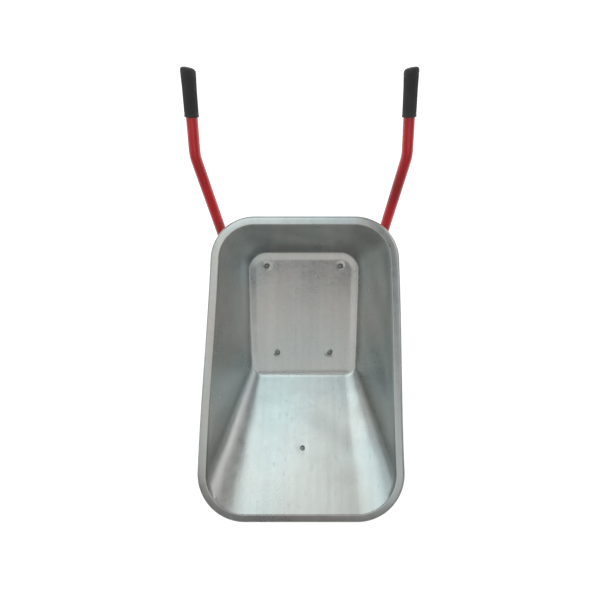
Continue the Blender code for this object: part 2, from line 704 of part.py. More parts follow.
def make_bearing(word, side):
    half = BEARING_HALF
    place = axial(side * BEARING_X)
    inner = [(PITCH_R - SHOULDER, half)] + groove(-1.0) + [(PITCH_R - SHOULDER, -half),
                                                          (AXLE_BORE, -half), (AXLE_BORE, half)]
    turned(f"bearing_inner_{word}", inner, STEEL, 24, place)
    outer = [(BEARING_R, half), (BEARING_R, -half), (PITCH_R + SHOULDER, -half)]
    outer += groove(1.0)[::-1] + [(PITCH_R + SHOULDER, half)]
    turned(f"bearing_outer_{word}", outer, STEEL, 24, place)
    web = 0.0008
    cage = [(PITCH_R + web, web), (PITCH_R + web, -web), (PITCH_R - web, -web),
            (PITCH_R - web, web)]
    ring_object = turned(f"bearing_cage_{word}", cage, STEEL, 24, place)
    data = bpy.data.meshes.new(f"balls_{word}")
    work = bmesh.new()
    for k in range(BALL_COUNT):
        a = 2.0 * math.pi * (k + 0.5) / BALL_COUNT
        spot = Matrix.Translation((PITCH_R * math.cos(a), PITCH_R * math.sin(a), 0.0))
        bmesh.ops.create_uvsphere(work, u_segments=8, v_segments=5, radius=BALL_R, matrix=spot)
    work.to_mesh(data)
    work.free()
    balls = as_cutter(add(f"balls_{word}", data, STEEL, place, cutters))
    boolean(ring_object, balls, "UNION")


for word, side in SIDES:
    make_bearing(word, side)
    seal = sorted((side * (bearing_out + CLEAR), side * (bearing_out + CLEAR + CAP_WALL)))
    sleeve(f"dust_cap_{word}", BEARING_R, SPACER_R + 2.0 * CLEAR, seal[0], seal[1],
           BLACK_PLASTIC)


# ---------------------------------------------------------------- hub and rim halves
seat = BEARING_R + CLEAR
step = bearing_in - CLEAR
bore = BEARING_R - HUB_SHOULDER
hub = [(HUB_R, HUB_HALF), (HUB_R, -HUB_HALF), (seat, -HUB_HALF), (seat, -step), (bore, -step),
       (bore, step), (seat, step), (seat, HUB_HALF)]
turned("hub", hub, ZINC, 24, axial(0.0))

disc_in = RIM_BOLT_CIRCLE - RIM_DISC_IN
disc_out_r = RIM_BOLT_CIRCLE + RIM_DISC_OUT
dish_x = BEARING_X - 0.006
half_rim = [(RIM_SEAT_R + rise, across) for rise, across in RIM_LIP]
half_rim += [(disc_out_r + 0.0030, 0.0012), (disc_out_r, CLEAR / 2.0), (disc_in, CLEAR / 2.0),
             (disc_in - 0.0040, 0.0020), (HUB_R + 0.0205, dish_x - 0.0040),
             (HUB_R + 0.0135, dish_x), (HUB_R + CLEAR, dish_x)]


def mirrored(profile):
    return [(radius, -x) for radius, x in reversed(profile)]


rim_halves = {}
for word, side in SIDES:
    profile = half_rim if side > 0 else mirrored(half_rim)
    half = turned(f"rim_half_{word}", profile, ZINC, 28, axial(0.0), closed=False)
    wall = half.modifiers.new("sheet", "SOLIDIFY")
    wall.thickness = RIM_SHEET
    wall.offset = -1.0
    rim_halves[word] = half


def wheel_spot(angle, radius, x):
    """A placement on the wheel whose local Z axis is parallel to the axle."""
    turn = Matrix.Rotation(angle, 4, "Z")
    return AXLE @ turn @ Matrix.Translation((radius, 0.0, x))


disc_out = CLEAR / 2.0 + RIM_SHEET
for k in range(RIM_BOLT_COUNT):
    angle = VALVE_ANGLE + 2.0 * math.pi * (k + 0.5) / RIM_BOLT_COUNT
    hexagon = ring(NUT_FLATS / math.sqrt(3.0), 6)
    head_half = NUT_H * 0.4
    bolt = flat(f"rim_bolt_{k + 1}", [hexagon], head_half, ZINC,
                wheel_spot(angle, RIM_BOLT_CIRCLE, -disc_out - CLEAR - head_half))
    rim_shank = rod(f"rim_shank_{k + 1}", BOLT_R, -disc_out - CLEAR - head_half,
                    disc_out + CLEAR + NUT_H + BOLT_R, wheel_spot(angle, RIM_BOLT_CIRCLE, 0.0),
                    8)
    boolean(bolt, rim_shank, "UNION")
    flat(f"rim_nut_{k + 1}", [hexagon, ring(BOLT_R + CLEAR, 8)], NUT_H / 2.0, ZINC,
         wheel_spot(angle, RIM_BOLT_CIRCLE, disc_out + CLEAR + NUT_H / 2.0))
    rim_hole = rod(f"rim_hole_{k + 1}", BOLT_R + CLEAR, -0.01, 0.01,
                   wheel_spot(angle, RIM_BOLT_CIRCLE, 0.0), 8)
    for half in rim_halves.values():
        boolean(half, rim_hole)

# ---------------------------------------------------------------- tyre, inner tube and valve
def section(points, side=1.0):
    """Points of the tyre section as (radius, place along the axle), on one side of the wheel."""
    return [(BEAD_R + (TYRE_R - BEAD_R) * share, side * across) for share, across in points]


upper = section(TYRE_OUTSIDE[::-1]) + [(TYRE_R, 0.0)]
lower = section(TYRE_OUTSIDE, -1.0)
inside = section(TYRE_INSIDE, -1.0) + section([(TYRE_CROWN_INSIDE, 0.0)])
inside += section(TYRE_INSIDE[::-1])
turned("tyre", upper + lower + inside, RUBBER, 32, axial(0.0))

(tube_low, _), (tube_high, _) = section([(share, 0.0) for share in TUBE_SPAN])
TUBE_MID_R = (tube_low + tube_high) / 2.0
TUBE_HALF_R = (tube_high - tube_low) / 2.0
tube_loop = []
for k in range(TUBE_SIDES):
    a = -2.0 * math.pi * k / TUBE_SIDES
    tube_loop.append((TUBE_MID_R + TUBE_HALF_R * math.cos(a), TUBE_HALF_X * math.sin(a)))
inner_tube = turned("inner_tube", tube_loop, RUBBER, 24, axial(0.0))
skin = inner_tube.modifiers.new("skin", "SOLIDIFY")
skin.thickness = TUBE_WALL
skin.offset = -1.0


def valve_place(radius):
    """A placement on the valve's line whose local Z axis points in to the axle."""
    turn = Matrix.Rotation(VALVE_ANGLE, 4, "Z")
    spot = Matrix.Translation((radius, 0.0, VALVE_X))
    return AXLE @ turn @ spot @ Matrix.Rotation(-math.pi / 2.0, 4, "Y")


VALVE_TOP_R = TUBE_MID_R - TUBE_HALF_R * math.sqrt(1.0 - (VALVE_X / TUBE_HALF_X) ** 2)
stem = [(0.0, VALVE_SEAT + VALVE_TIP), (TIP_R, VALVE_SEAT + VALVE_TIP), (TIP_R, VALVE_SEAT),
        (VALVE_R, VALVE_SEAT), (VALVE_R, 0.0), (0.0, 0.0)]
turned("valve_stem", stem, RUBBER, 14, valve_place(VALVE_TOP_R), closed=False)
cap_low = VALVE_SEAT + 2.0 * CLEAR
cap_high = VALVE_SEAT + VALVE_TIP + 0.0025
cap = [(0.0, cap_high), (VALVE_R, cap_high - 0.0008), (VALVE_R + 0.0004, cap_low),
       (TIP_R + CLEAR, cap_low), (TIP_R + CLEAR, VALVE_SEAT + VALVE_TIP + 2.0 * CLEAR),
       (0.0, VALVE_SEAT + VALVE_TIP + 2.0 * CLEAR)]
turned("valve_cap", cap, BLACK_PLASTIC, 14, valve_place(VALVE_TOP_R), closed=False)
valve_hole = rod("valve_hole", VALVE_R + CLEAR, -0.006, 0.020, valve_place(VALVE_TOP_R), 14)
boolean(inner_tube, valve_hole)
boolean(rim_halves["left"], valve_hole)

# The turning pieces hang on the empty that stands on the wheel's axis.
bpy.context.view_layer.update()
WHEEL_PIECES = ["hub", "tyre", "inner_tube", "valve_stem", "valve_cap"]
for word, side in SIDES:
    WHEEL_PIECES += [f"rim_half_{word}", f"bearing_outer_{word}", f"bearing_cage_{word}",
                     f"dust_cap_{word}"]
for k in range(RIM_BOLT_COUNT):
    WHEEL_PIECES += [f"rim_bolt_{k + 1}", f"rim_nut_{k + 1}"]
for name in WHEEL_PIECES:
    piece = bpy.data.objects[name]
    place = piece.matrix_world.copy()
    piece.parent = wheel_axis
    piece.matrix_world = place
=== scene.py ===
"""Looks of a wheelbarrow: galvanised tray, red tubular frame, black grips and a pneumatic wheel."""
import math

import bmesh
import bpy
import numpy as np
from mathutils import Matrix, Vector


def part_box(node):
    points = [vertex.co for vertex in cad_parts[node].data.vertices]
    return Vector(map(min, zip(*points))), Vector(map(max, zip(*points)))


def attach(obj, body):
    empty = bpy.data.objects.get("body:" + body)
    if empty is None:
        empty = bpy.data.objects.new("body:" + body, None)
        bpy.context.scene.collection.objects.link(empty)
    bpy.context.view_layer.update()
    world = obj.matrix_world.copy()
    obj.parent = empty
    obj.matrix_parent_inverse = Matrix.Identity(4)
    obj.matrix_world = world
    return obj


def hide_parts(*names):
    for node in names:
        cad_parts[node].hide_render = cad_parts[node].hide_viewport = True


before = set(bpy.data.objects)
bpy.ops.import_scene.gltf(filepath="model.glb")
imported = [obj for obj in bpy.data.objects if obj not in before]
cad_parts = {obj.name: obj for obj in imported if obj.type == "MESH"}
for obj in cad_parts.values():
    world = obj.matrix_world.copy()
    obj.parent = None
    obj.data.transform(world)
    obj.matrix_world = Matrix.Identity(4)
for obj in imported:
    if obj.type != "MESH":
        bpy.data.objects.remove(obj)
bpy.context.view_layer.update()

# ------------------------------------------------------------------------------- the tray
# One blank of 1.2 mm steel sheet, deep drawn to a flat floor, steep walls and a long front
# slope, its edge rolled outwards, then dipped in zinc. Five bolts hold it to the frame.
SHEET = 0.0012
TRAY_REAR, TRAY_NOSE = 0.274, -0.610
FLOOR_REAR, FLOOR_FRONT, FLOOR_Z = 0.185, -0.216, 0.280
BEAD_WIDTH, BEAD_HEIGHT = 0.025, 0.009
CREASE_Y = FLOOR_FRONT - 0.011
LEDGE_HEIGHT = 0.0032
NOSE_DROP = 0.0085
RIM_PROFILE = [(0.0, -0.004), (0.0010, 0.0090), (0.0225, 0.0054), (0.0280, 0.0010),
               (0.0262, -0.0062), (0.0205, -0.0078), (0.0185, -0.0045)]
FLOOR_BOLTS = {"rear_left": (0.1265, 0.146), "front_left": (0.089, -0.151),
               "rear_right": (-0.1265, 0.146), "front_right": (-0.089, -0.151)}
UPRIGHT = np.array((0.0, 0.0, 1.0))
NOSE_BOLT_Y = -0.433
ZINC_BLUE = (0.575, 0.625, 0.620)
ZINC_WARM = (0.635, 0.618, 0.590)


def plan_outline(rear, front, half_rear, half_front, r_rear, r_front, arc=52, side=(24, 40)):
    """Plan of a four-sided panel with round corners, starting at its rear corner on +X.

    Each corner is a circle of its radius that touches both edges; the straight runs between
    are even. Every outline made with the same counts matches the others point for point.
    """
    corner = np.array([(half_rear, rear), (-half_rear, rear),
                       (-half_front, front), (half_front, front)])
    radius = np.array([r_rear, r_rear, r_front, r_front])[:, None]
    before = np.roll(corner, 1, axis=0) - corner
    after = np.roll(corner, -1, axis=0) - corner
    before /= np.linalg.norm(before, axis=1)[:, None]
    after /= np.linalg.norm(after, axis=1)[:, None]
    half_turn = np.arccos((before * after).sum(1))[:, None] / 2.0
    middle = (before + after) / np.linalg.norm(before + after, axis=1)[:, None]
    centre = corner + middle * radius / np.sin(half_turn)
    start = corner + before * radius / np.tan(half_turn) - centre
    sweep = (math.pi - 2.0 * half_turn) * np.linspace(0.0, 1.0, arc)[None, :]
    turned_x = start[:, :1] * np.cos(sweep) - start[:, 1:] * np.sin(sweep)
    turned_y = start[:, :1] * np.sin(sweep) + start[:, 1:] * np.cos(sweep)
    arcs = np.stack((turned_x, turned_y), -1) + centre[:, None, :]
    runs = []
    for i in range(4):
        count = side[i % 2]
        share = (np.arange(1, count) / count)[:, None]
        runs.append(arcs[i])
        runs.append(arcs[i, -1] * (1 - share) + arcs[(i + 1) % 4, 0] * share)
    return np.concatenate(runs)


def surface(name, grid, wrap_rows=False, wrap_columns=False, weld=False, outward=False):
    """A mesh through a grid of points (rows, columns, 3), one quad for each cell."""
    rows, columns = grid.shape[:2]
    r = np.arange(rows if wrap_rows else rows - 1)[:, None]
    c = np.arange(columns if wrap_columns else columns - 1)[None, :]
    r2, c2 = (r + 1) % rows, (c + 1) % columns
    quads = np.stack((r * columns + c, r * columns + c2, r2 * columns + c2, r2 * columns + c), -1)
    quads = quads.reshape(-1, 4)
    mesh = bpy.data.meshes.new(name)
    mesh.vertices.add(rows * columns)
    mesh.vertices.foreach_set("co", grid.astype(np.float32).ravel())
    mesh.loops.add(quads.size)
    mesh.loops.foreach_set("vertex_index", quads.astype(np.int32).ravel())
    mesh.polygons.add(len(quads))
    mesh.polygons.foreach_set("loop_start", np.arange(0, quads.size, 4, dtype=np.int32))
    mesh.update(calc_edges=True)
    if weld or outward:
        work = bmesh.new()
        work.from_mesh(mesh)
        if weld:
            bmesh.ops.remove_doubles(work, verts=work.verts, dist=1e-6)
            bmesh.ops.dissolve_degenerate(work, edges=work.edges, dist=1e-7)
        if outward:
            bmesh.ops.recalc_face_normals(work, faces=work.faces)
        work.to_mesh(mesh)
        work.free()
    mesh.shade_smooth()
    mesh.set_sharp_from_angle(angle=math.radians(42.0))
    made = bpy.data.objects.new(name, mesh)
    bpy.context.scene.collection.objects.link(made)
    return made


def smooth(x):
    """The S-shaped step 3x^2 - 2x^3 of x held between 0 and 1."""
    x = np.clip(x, 0.0, 1.0)
    return x * x * (3.0 - 2.0 * x)


def rim_top(y):
    """Height of the rim at y: a straight line that climbs 20 mm from the rear to the nose."""
    return 0.500 + 0.020 * (TRAY_REAR - y) / (TRAY_REAR - TRAY_NOSE)


def filleted(points, radius, steps=4, closed=False):
    """A profile whose inner corners are rounded, each by no more than its shorter edge allows.

    Each corner becomes a quadratic curve that starts and ends the radius away from it.
    """
    points = np.asarray(points, float)
    before, after = np.roll(points, 1, axis=0) - points, np.roll(points, -1, axis=0) - points
    length_in = np.linalg.norm(before, axis=1)[:, None]
    length_out = np.linalg.norm(after, axis=1)[:, None]
    cut = np.minimum(radius, 0.45 * np.minimum(length_in, length_out))
    start, stop = points + before / length_in * cut, points + after / length_out * cut
    t = np.linspace(0.0, 1.0, steps + 1)[None, :, None]
    curve = (start[:, None] * (1 - t) ** 2 + points[:, None] * 2 * t * (1 - t)
             + stop[:, None] * t * t)
    if closed:
        return curve.reshape(-1, 2)
    return np.concatenate((points[:1], curve[1:-1].reshape(-1, 2), points[-1:]))


def tray_grid():
    """Rows run from the middle of the floor, over the ramp, bend and wall, round the rim.

    The floor is its outline shrunk to the middle; a straight ramp rises gently from its edge
    at the rear and the sides. A quadratic curve bends the ramp into the wall, whose rows are
    straight mixes of its foot and its top. The rim is its listed profile with rounded corners,
    carried round the top and lowered towards the nose. The top leans a little to +X.
    """
    # each outline: rear and front edge, half widths there, then the corner radii there
    panel = plan_outline(FLOOR_REAR - 0.019, CREASE_Y + 0.012, 0.162, 0.1560, 0.034, 0.014)
    ledge = plan_outline(FLOOR_REAR + 0.001, CREASE_Y + 0.006, 0.184, 0.1690, 0.056, 0.026)
    edge = plan_outline(FLOOR_REAR + 0.009, CREASE_Y, 0.1915, 0.1770, 0.066, 0.040)
    top = plan_outline(TRAY_REAR - BEAD_WIDTH, TRAY_NOSE + BEAD_WIDTH - 0.006, 0.2475, 0.2800,
                       0.103, 0.112)
    top[:, 0] += 0.0105 * smooth((top[:, 1] + 0.45) / 0.60) - 0.0015
    rear_share = smooth((top[:, 1] - top[:, 1].min()) / 0.10)
    step = LEDGE_HEIGHT * smooth((panel[:, 1] - CREASE_Y - 0.012) / 0.060)
    flat = np.column_stack((panel, np.full(len(panel), FLOOR_Z)))
    shelf = np.column_stack((ledge, FLOOR_Z + step))
    foot = np.column_stack((edge, FLOOR_Z + step))
    brim = np.column_stack((top, rim_top(top[:, 1]) - BEAD_HEIGHT * rear_share))
    middle = np.array((0.0, (FLOOR_REAR + CREASE_Y) / 2.0, FLOOR_Z))
    share = np.linspace(0.0, 1.0, 38)[:-1, None, None]
    floor_rows = middle + (flat - middle) * share
    t = np.linspace(0.0, 1.0, 9)[:, None]
    step_rows = flat + (shelf - flat) * t[:, :, None]
    rise = np.clip(t - 0.06, 0.0, 1.0) / 0.94
    step_rows[:, :, 2] = flat[:, 2] + (shelf - flat)[:, 2] * rise
    way = brim - foot
    length = np.linalg.norm(way, axis=1)
    bend = 0.010 + 0.010 * smooth((edge[:, 1] - CREASE_Y) / 0.045)
    low = foot + way * (bend / length)[:, None]
    start = shelf + (foot - shelf) * 0.30
    t = np.linspace(0.0, 1.0, 11)[:, None, None]
    bend_rows = start * (1 - t) ** 2 + foot * 2 * t * (1 - t) + low * t * t
    t = np.linspace(0.0, 1.0, 33)[1:, None, None]
    wall_rows = low * (1 - t) + brim * t
    out = np.roll(top, -1, axis=0) - np.roll(top, 1, axis=0)
    out = np.column_stack((out[:, 1], -out[:, 0])) / np.linalg.norm(out, axis=1)[:, None]
    crown = filleted(RIM_PROFILE, 0.003, steps=6)[1:]
    rim_rows = np.zeros((len(crown), len(top), 3))
    rim_rows[:, :, :2] = top + out * crown[:, :1, None]
    rim_rows[:, :, 2] = brim[:, 2] + crown[:, 1:] - NOSE_DROP * (1.0 - rear_share)
    return np.concatenate((floor_rows, step_rows, bend_rows, wall_rows, rim_rows))


def slope_point():
    """The nose bolt's seat on the front slope, and the slope's upward normal."""
    low = np.array((0.0, FLOOR_FRONT, FLOOR_Z))
    y = TRAY_NOSE + BEAD_WIDTH
    high = np.array((0.0, y, rim_top(y) - BEAD_HEIGHT))
    seat = low + (high - low) * (NOSE_BOLT_Y - FLOOR_FRONT) / (y - FLOOR_FRONT)
    way = (high - low) / np.linalg.norm(high - low)
    return seat, np.array((0.0, way[2], -way[1]))


def press_dimples(grid, depth=0.0025, radius=0.0138):
    """Sinks a round dish under each bolt head, along the sheet's own normal there."""
    nose, slant = slope_point()
    seats = [(np.array((*spot, FLOOR_Z)), UPRIGHT) for spot in FLOOR_BOLTS.values()]
    for seat, normal in seats + [(nose, slant)]:
        away = np.linalg.norm(grid - seat, axis=2)
        sink = depth * (1.0 - smooth((away - 0.0075) / (radius - 0.0075)))
        grid -= sink[:, :, None] * normal
    return grid


def ripple_sheet(grid):
    """Adds the faint hollows and swells that drawing leaves in thin sheet, under 2 mm.

    They are a sum of three sines of place, pushed along the sheet's normal on the walls only;
    a low rib is raised across the floor just behind the front crease.
    """
    x, y, z = grid[:, :, 0], grid[:, :, 1], grid[:, :, 2]
    normal = np.cross(np.gradient(grid, axis=1), np.gradient(grid, axis=0))
    normal /= np.maximum(np.linalg.norm(normal, axis=2), 1e-12)[:, :, None]
    swell = np.sin(31.0 * y + 9.0 * x + 2.0 * np.sin(15.0 * z)) * np.sin(19.0 * x + 14.0 * z + 0.7)
    swell += 0.6 * np.sin(47.0 * y - 21.0 * z + 1.1) * np.sin(33.0 * x + 5.0)
    swell += 0.8 * np.sin(12.0 * y + 4.0 * x) * np.sin(26.0 * z - 9.0 * x)
    wall = smooth((z - FLOOR_Z - 0.02) / 0.05) * smooth((0.485 - z) / 0.03)
    moved = grid + normal * (0.0008 * wall * swell)[:, :, None]
    crease = np.exp(-((y - CREASE_Y - 0.010) / 0.0030) ** 2)
    on_floor = (np.abs(z - FLOOR_Z) < 0.0015) & (np.abs(x) < 0.152)
    moved[:, :, 2] += 0.0009 * crease * on_floor
    return moved


def group(name, inputs, outputs):
    """An empty shader node group with float or vector inputs, and its two end nodes."""
    made = bpy.data.node_groups.new(name, "ShaderNodeTree")
    for label, kind, value in inputs:
        socket = made.interface.new_socket(label, in_out="INPUT", socket_type=kind)
        if value is not None:
            socket.default_value = value
    for label, kind in outputs:
        made.interface.new_socket(label, in_out="OUTPUT", socket_type=kind)
    start = made.nodes.new("NodeGroupInput")
    end = made.nodes.new("NodeGroupOutput")
    return made, start, end


def node(tree, kind, inputs=None, **settings):
    """A node with its settings; an input is a value or another node's output socket."""
    made = tree.nodes.new(kind)
    for label, value in settings.items():
        setattr(made, label, value)
    for label, value in (inputs or {}).items():
        if isinstance(value, bpy.types.NodeSocket):
            tree.links.new(value, made.inputs[label])
        else:
            made.inputs[label].default_value = value
    return made


def math_node(tree, operation, a, b=0.0, c=0.0, clamp=False):
    """One sum on up to three values or sockets."""
    return node(tree, "ShaderNodeMath", {0: a, 1: b, 2: c}, operation=operation,
                use_clamp=clamp).outputs[0]


def mix_colour(tree, share, a, b):
    """Colour a where the share is 0, and b where it is 1."""
    return node(tree, "ShaderNodeMix", {0: share, 6: a, 7: b}, data_type="RGBA").outputs[2]


def noise(tree, place, scale, detail=2.0, roughness=0.5):
    """Fractal noise at a place, of the given scale; returns its node."""
    return node(tree, "ShaderNodeTexNoise", {"Vector": place, "Scale": scale, "Detail": detail,
                                             "Roughness": roughness})


def bumped(tree, shader, height, strength):
    """Lets a height in metres tilt the shader's normal."""
    bump = node(tree, "ShaderNodeBump", {"Height": height, "Distance": 1.0,
                                         "Strength": strength})
    tree.links.new(bump.outputs[0], shader.inputs["Normal"])


def spread(tree, value, low, high, new_low=0.0, new_high=1.0):
    """A value between low and high laid onto the new range, and held at its ends."""
    made = node(tree, "ShaderNodeMapRange", {"Value": value, "From Min": low, "From Max": high,
                                             "To Min": new_low, "To Max": new_high})
    return made.outputs[0]


def blank_material(name, metallic, roughness=0.5, coat=0.0, coat_roughness=0.1):
    """A material with one Principled shader; returns it with its tree and the shader."""
    made = bpy.data.materials.new(name)
    made.use_nodes = True
    tree = made.node_tree
    shader = tree.nodes["Principled BSDF"]
    shader.inputs["Metallic"].default_value = metallic
    shader.inputs["Roughness"].default_value = roughness
    shader.inputs["Coat Weight"].default_value = coat
    shader.inputs["Coat Roughness"].default_value = coat_roughness
    return made, tree, shader


def dress(obj, mat, body, *nodes, slot=None):
    """Gives a piece its material and body, and hides the CAD nodes that it stands for; the slot is
    not used.
    """
    obj.data.materials.clear()
    obj.data.materials.append(mat)
    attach(obj, body)
    if nodes:
        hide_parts(*nodes)
    return obj


def make_spangle():
    """Zinc crystals: flat cells a few millimetres across, each with its own tone and tilt."""
    made, start, end = group("zinc_spangle", [("Place", "NodeSocketVector", None),
                                              ("Cells", "NodeSocketFloat", 90.0)],
                             [("Tone", "NodeSocketFloat"), ("Tilt", "NodeSocketColor"),
                              ("Cloud", "NodeSocketFloat")])
    place, cells = start.outputs["Place"], start.outputs["Cells"]
    warp = noise(made, place, 30.0)
    bent = node(made, "ShaderNodeVectorMath", {0: warp.outputs["Color"], 1: (0.006,) * 3},
                operation="MULTIPLY")
    moved = node(made, "ShaderNodeVectorMath", {0: place, 1: bent.outputs[0]}, operation="ADD")
    cell = node(made, "ShaderNodeTexVoronoi", {"Vector": moved.outputs[0], "Scale": cells})
    parts = node(made, "ShaderNodeSeparateColor", {0: cell.outputs["Color"]})
    made.links.new(parts.outputs[0], end.inputs["Tone"])
    made.links.new(cell.outputs["Color"], end.inputs["Tilt"])
    cloud = noise(made, place, 4.5, 5.0, 0.6)
    made.links.new(cloud.outputs["Fac"], end.inputs["Cloud"])
    return made


SPANGLE = make_spangle()


def galvanised_sheet():
    """Dipped zinc: satin metal with soft crystals, clouding, draw streaks and fine scratches."""
    mat, tree, shader = blank_material("galvanised_sheet", 1.0)
    place = node(tree, "ShaderNodeTexCoord").outputs["Object"]
    crystals = node(tree, "ShaderNodeGroup", node_tree=SPANGLE)
    tree.links.new(place, crystals.inputs["Place"])
    crystals.inputs["Cells"].default_value = 95.0
    long_way = node(tree, "ShaderNodeMapping", {"Vector": place, "Scale": (26.0, 1.2, 3.0)})
    streak = noise(tree, long_way.outputs[0], 2.0, 1.5)
    scratch_way = node(tree, "ShaderNodeMapping", {"Vector": place, "Scale": (160.0, 9.0, 60.0),
                                                   "Rotation": (0.0, 0.0, 0.5)})
    scratch = noise(tree, scratch_way.outputs[0], 1.0)
    line = spread(tree, scratch.outputs["Fac"], 0.66, 0.72)
    tone = math_node(tree, "MULTIPLY", crystals.outputs["Tone"], 0.06)
    tone = math_node(tree, "ADD", tone, spread(tree, crystals.outputs["Cloud"], 0.3, 0.7,
                                               0.80, 0.96))
    tone = math_node(tree, "ADD", tone, spread(tree, streak.outputs["Fac"], 0.3, 0.7,
                                               -0.03, 0.03))
    broad = noise(tree, place, 3.2, 2.0, 0.4)
    hue = mix_colour(tree, spread(tree, broad.outputs["Fac"], 0.38, 0.62), (*ZINC_BLUE, 1.0),
                     (*ZINC_WARM, 1.0))
    scaled = node(tree, "ShaderNodeVectorMath", {0: hue}, operation="SCALE")
    tree.links.new(tone, scaled.inputs["Scale"])
    tree.links.new(scaled.outputs[0], shader.inputs["Base Color"])
    rough = spread(tree, crystals.outputs["Cloud"], 0.3, 0.7, 0.24, 0.34)
    rough = math_node(tree, "ADD", rough, math_node(tree, "MULTIPLY", crystals.outputs["Tone"],
                                                    0.05))
    rough = math_node(tree, "ADD", rough, math_node(tree, "MULTIPLY", line, 0.10))
    tree.links.new(rough, shader.inputs["Roughness"])
    tilt = node(tree, "ShaderNodeSeparateColor", {0: crystals.outputs["Tilt"]})
    height = math_node(tree, "MULTIPLY", tilt.outputs[1], 0.00001)
    swell = math_node(tree, "MULTIPLY", streak.outputs["Fac"], 0.0005)
    height = math_node(tree, "ADD", height, swell)
    cut = math_node(tree, "MULTIPLY", line, -0.00002)
    height = math_node(tree, "ADD", height, cut)
    bumped(tree, shader, height, 0.6)
    return mat


GALVANISED = galvanised_sheet()
tray = surface("tray_sheet", ripple_sheet(press_dimples(tray_grid())), wrap_columns=True,
               weld=True)
tray.data.flip_normals()
shell = tray.modifiers.new("sheet", "SOLIDIFY")
shell.thickness = SHEET
shell.offset = -1.0
dress(tray, GALVANISED, "frame", "tray", slot="galvanised")

# ------------------------------------------------------------------------------- the rails
# Two lengths of 32 mm steel tube, each bent three times: beside the wheel, under the tray
# and at the handle. They are welded to the rest of the frame and painted in gloss red.
RAIL_R = 0.01585
RAIL_X, RAIL_Z = 0.098, 0.226
RAIL_POINTS = np.array([(RAIL_X, -0.505, RAIL_Z), (RAIL_X, -0.400, RAIL_Z),
                        (0.1955, 0.0065, 0.246),
                        (0.2985, 0.435, 0.555), (0.2885, 0.622, 0.6615)])
RED = (0.60, 0.010, 0.016)
SIDES = (("left", 1.0), ("right", -1.0))


def rounded_path(points, radii, steps=14, spacing=0.02):
    """Straight runs through the points, with an arc of the given radius at each inner one."""
    points = np.asarray(points, float)
    pieces = [points[:1]]
    for before, corner, after, radius in zip(points, points[1:], points[2:], radii):
        into = (corner - before) / np.linalg.norm(corner - before)
        out = (after - corner) / np.linalg.norm(after - corner)
        turn = math.acos(float(np.clip(into @ out, -1.0, 1.0)))
        inward = (out - into) / np.linalg.norm(out - into)
        centre = corner + inward * radius / math.cos(turn / 2.0)
        start = corner - into * radius * math.tan(turn / 2.0) - centre
        a = np.linspace(0.0, turn, steps)[:, None]
        pieces.append(centre + start * np.cos(a) + into * radius * np.sin(a))
    pieces.append(points[-1:])
    path = np.concatenate(pieces)
    step = np.linalg.norm(np.diff(path, axis=0), axis=1)
    along = np.concatenate(([0.0], np.cumsum(step)))
    extra = np.arange(spacing, along[-1], spacing)
    stations = np.unique(np.concatenate((along, extra)))
    stations = stations[np.concatenate(([True], np.diff(stations) > 0.0008))]
    stations[-1] = along[-1]
    return np.column_stack([np.interp(stations, along, path[:, i]) for i in range(3)])


def frames(path, across):
    """Unit tangents of a path, and two unit vectors square to them, the first near across."""
    tangent = np.gradient(path, axis=0)
    tangent /= np.linalg.norm(tangent, axis=1)[:, None]
    side = np.asarray(across, float) - tangent * (tangent @ np.asarray(across, float))[:, None]
    side /= np.linalg.norm(side, axis=1)[:, None]
    return tangent, side, np.cross(tangent, side)


def tube_grid(path, radius, across, sides=48):
    """A circle of the radius carried along the path, square to it."""
    _, side, up = frames(path, across)
    a = np.linspace(0.0, 2.0 * math.pi, sides, endpoint=False)
    radius = np.broadcast_to(radius, (len(path),))[:, None, None]
    ring = side[:, None, :] * np.cos(a)[None, :, None] + up[:, None, :] * np.sin(a)[None, :, None]
    return path[:, None, :] + ring * radius


def closed_ends(grid):
    """Adds a point at the middle of the first and last rows, which shuts both ends."""
    first = np.broadcast_to(grid[0].mean(0), grid[:1].shape)
    last = np.broadcast_to(grid[-1].mean(0), grid[:1].shape)
    return np.concatenate((first, grid, last))


def make_paint_wear():
    """Paint that is thin on scuffed places: a mask of chips, and a soft dirt mask."""
    made, start, end = group("paint_wear", [("Place", "NodeSocketVector", None),
                                            ("Amount", "NodeSocketFloat", 0.3)],
                             [("Chips", "NodeSocketFloat"), ("Dirt", "NodeSocketFloat"),
                              ("Peel", "NodeSocketFloat")])
    place = start.outputs["Place"]
    coarse = noise(made, place, 22.0, 6.0, 0.65)
    level = spread(made, start.outputs["Amount"], 0.0, 1.0, 0.78, 0.50)
    over = math_node(made, "SUBTRACT", coarse.outputs["Fac"], level)
    made.links.new(math_node(made, "MULTIPLY", over, 60.0, clamp=True), end.inputs["Chips"])
    dirt = noise(made, place, 7.0, 4.0)
    made.links.new(spread(made, dirt.outputs["Fac"], 0.45, 0.75), end.inputs["Dirt"])
    peel = noise(made, place, 420.0, 1.0)
    made.links.new(peel.outputs["Fac"], end.inputs["Peel"])
    return made


PAINT_WEAR = make_paint_wear()


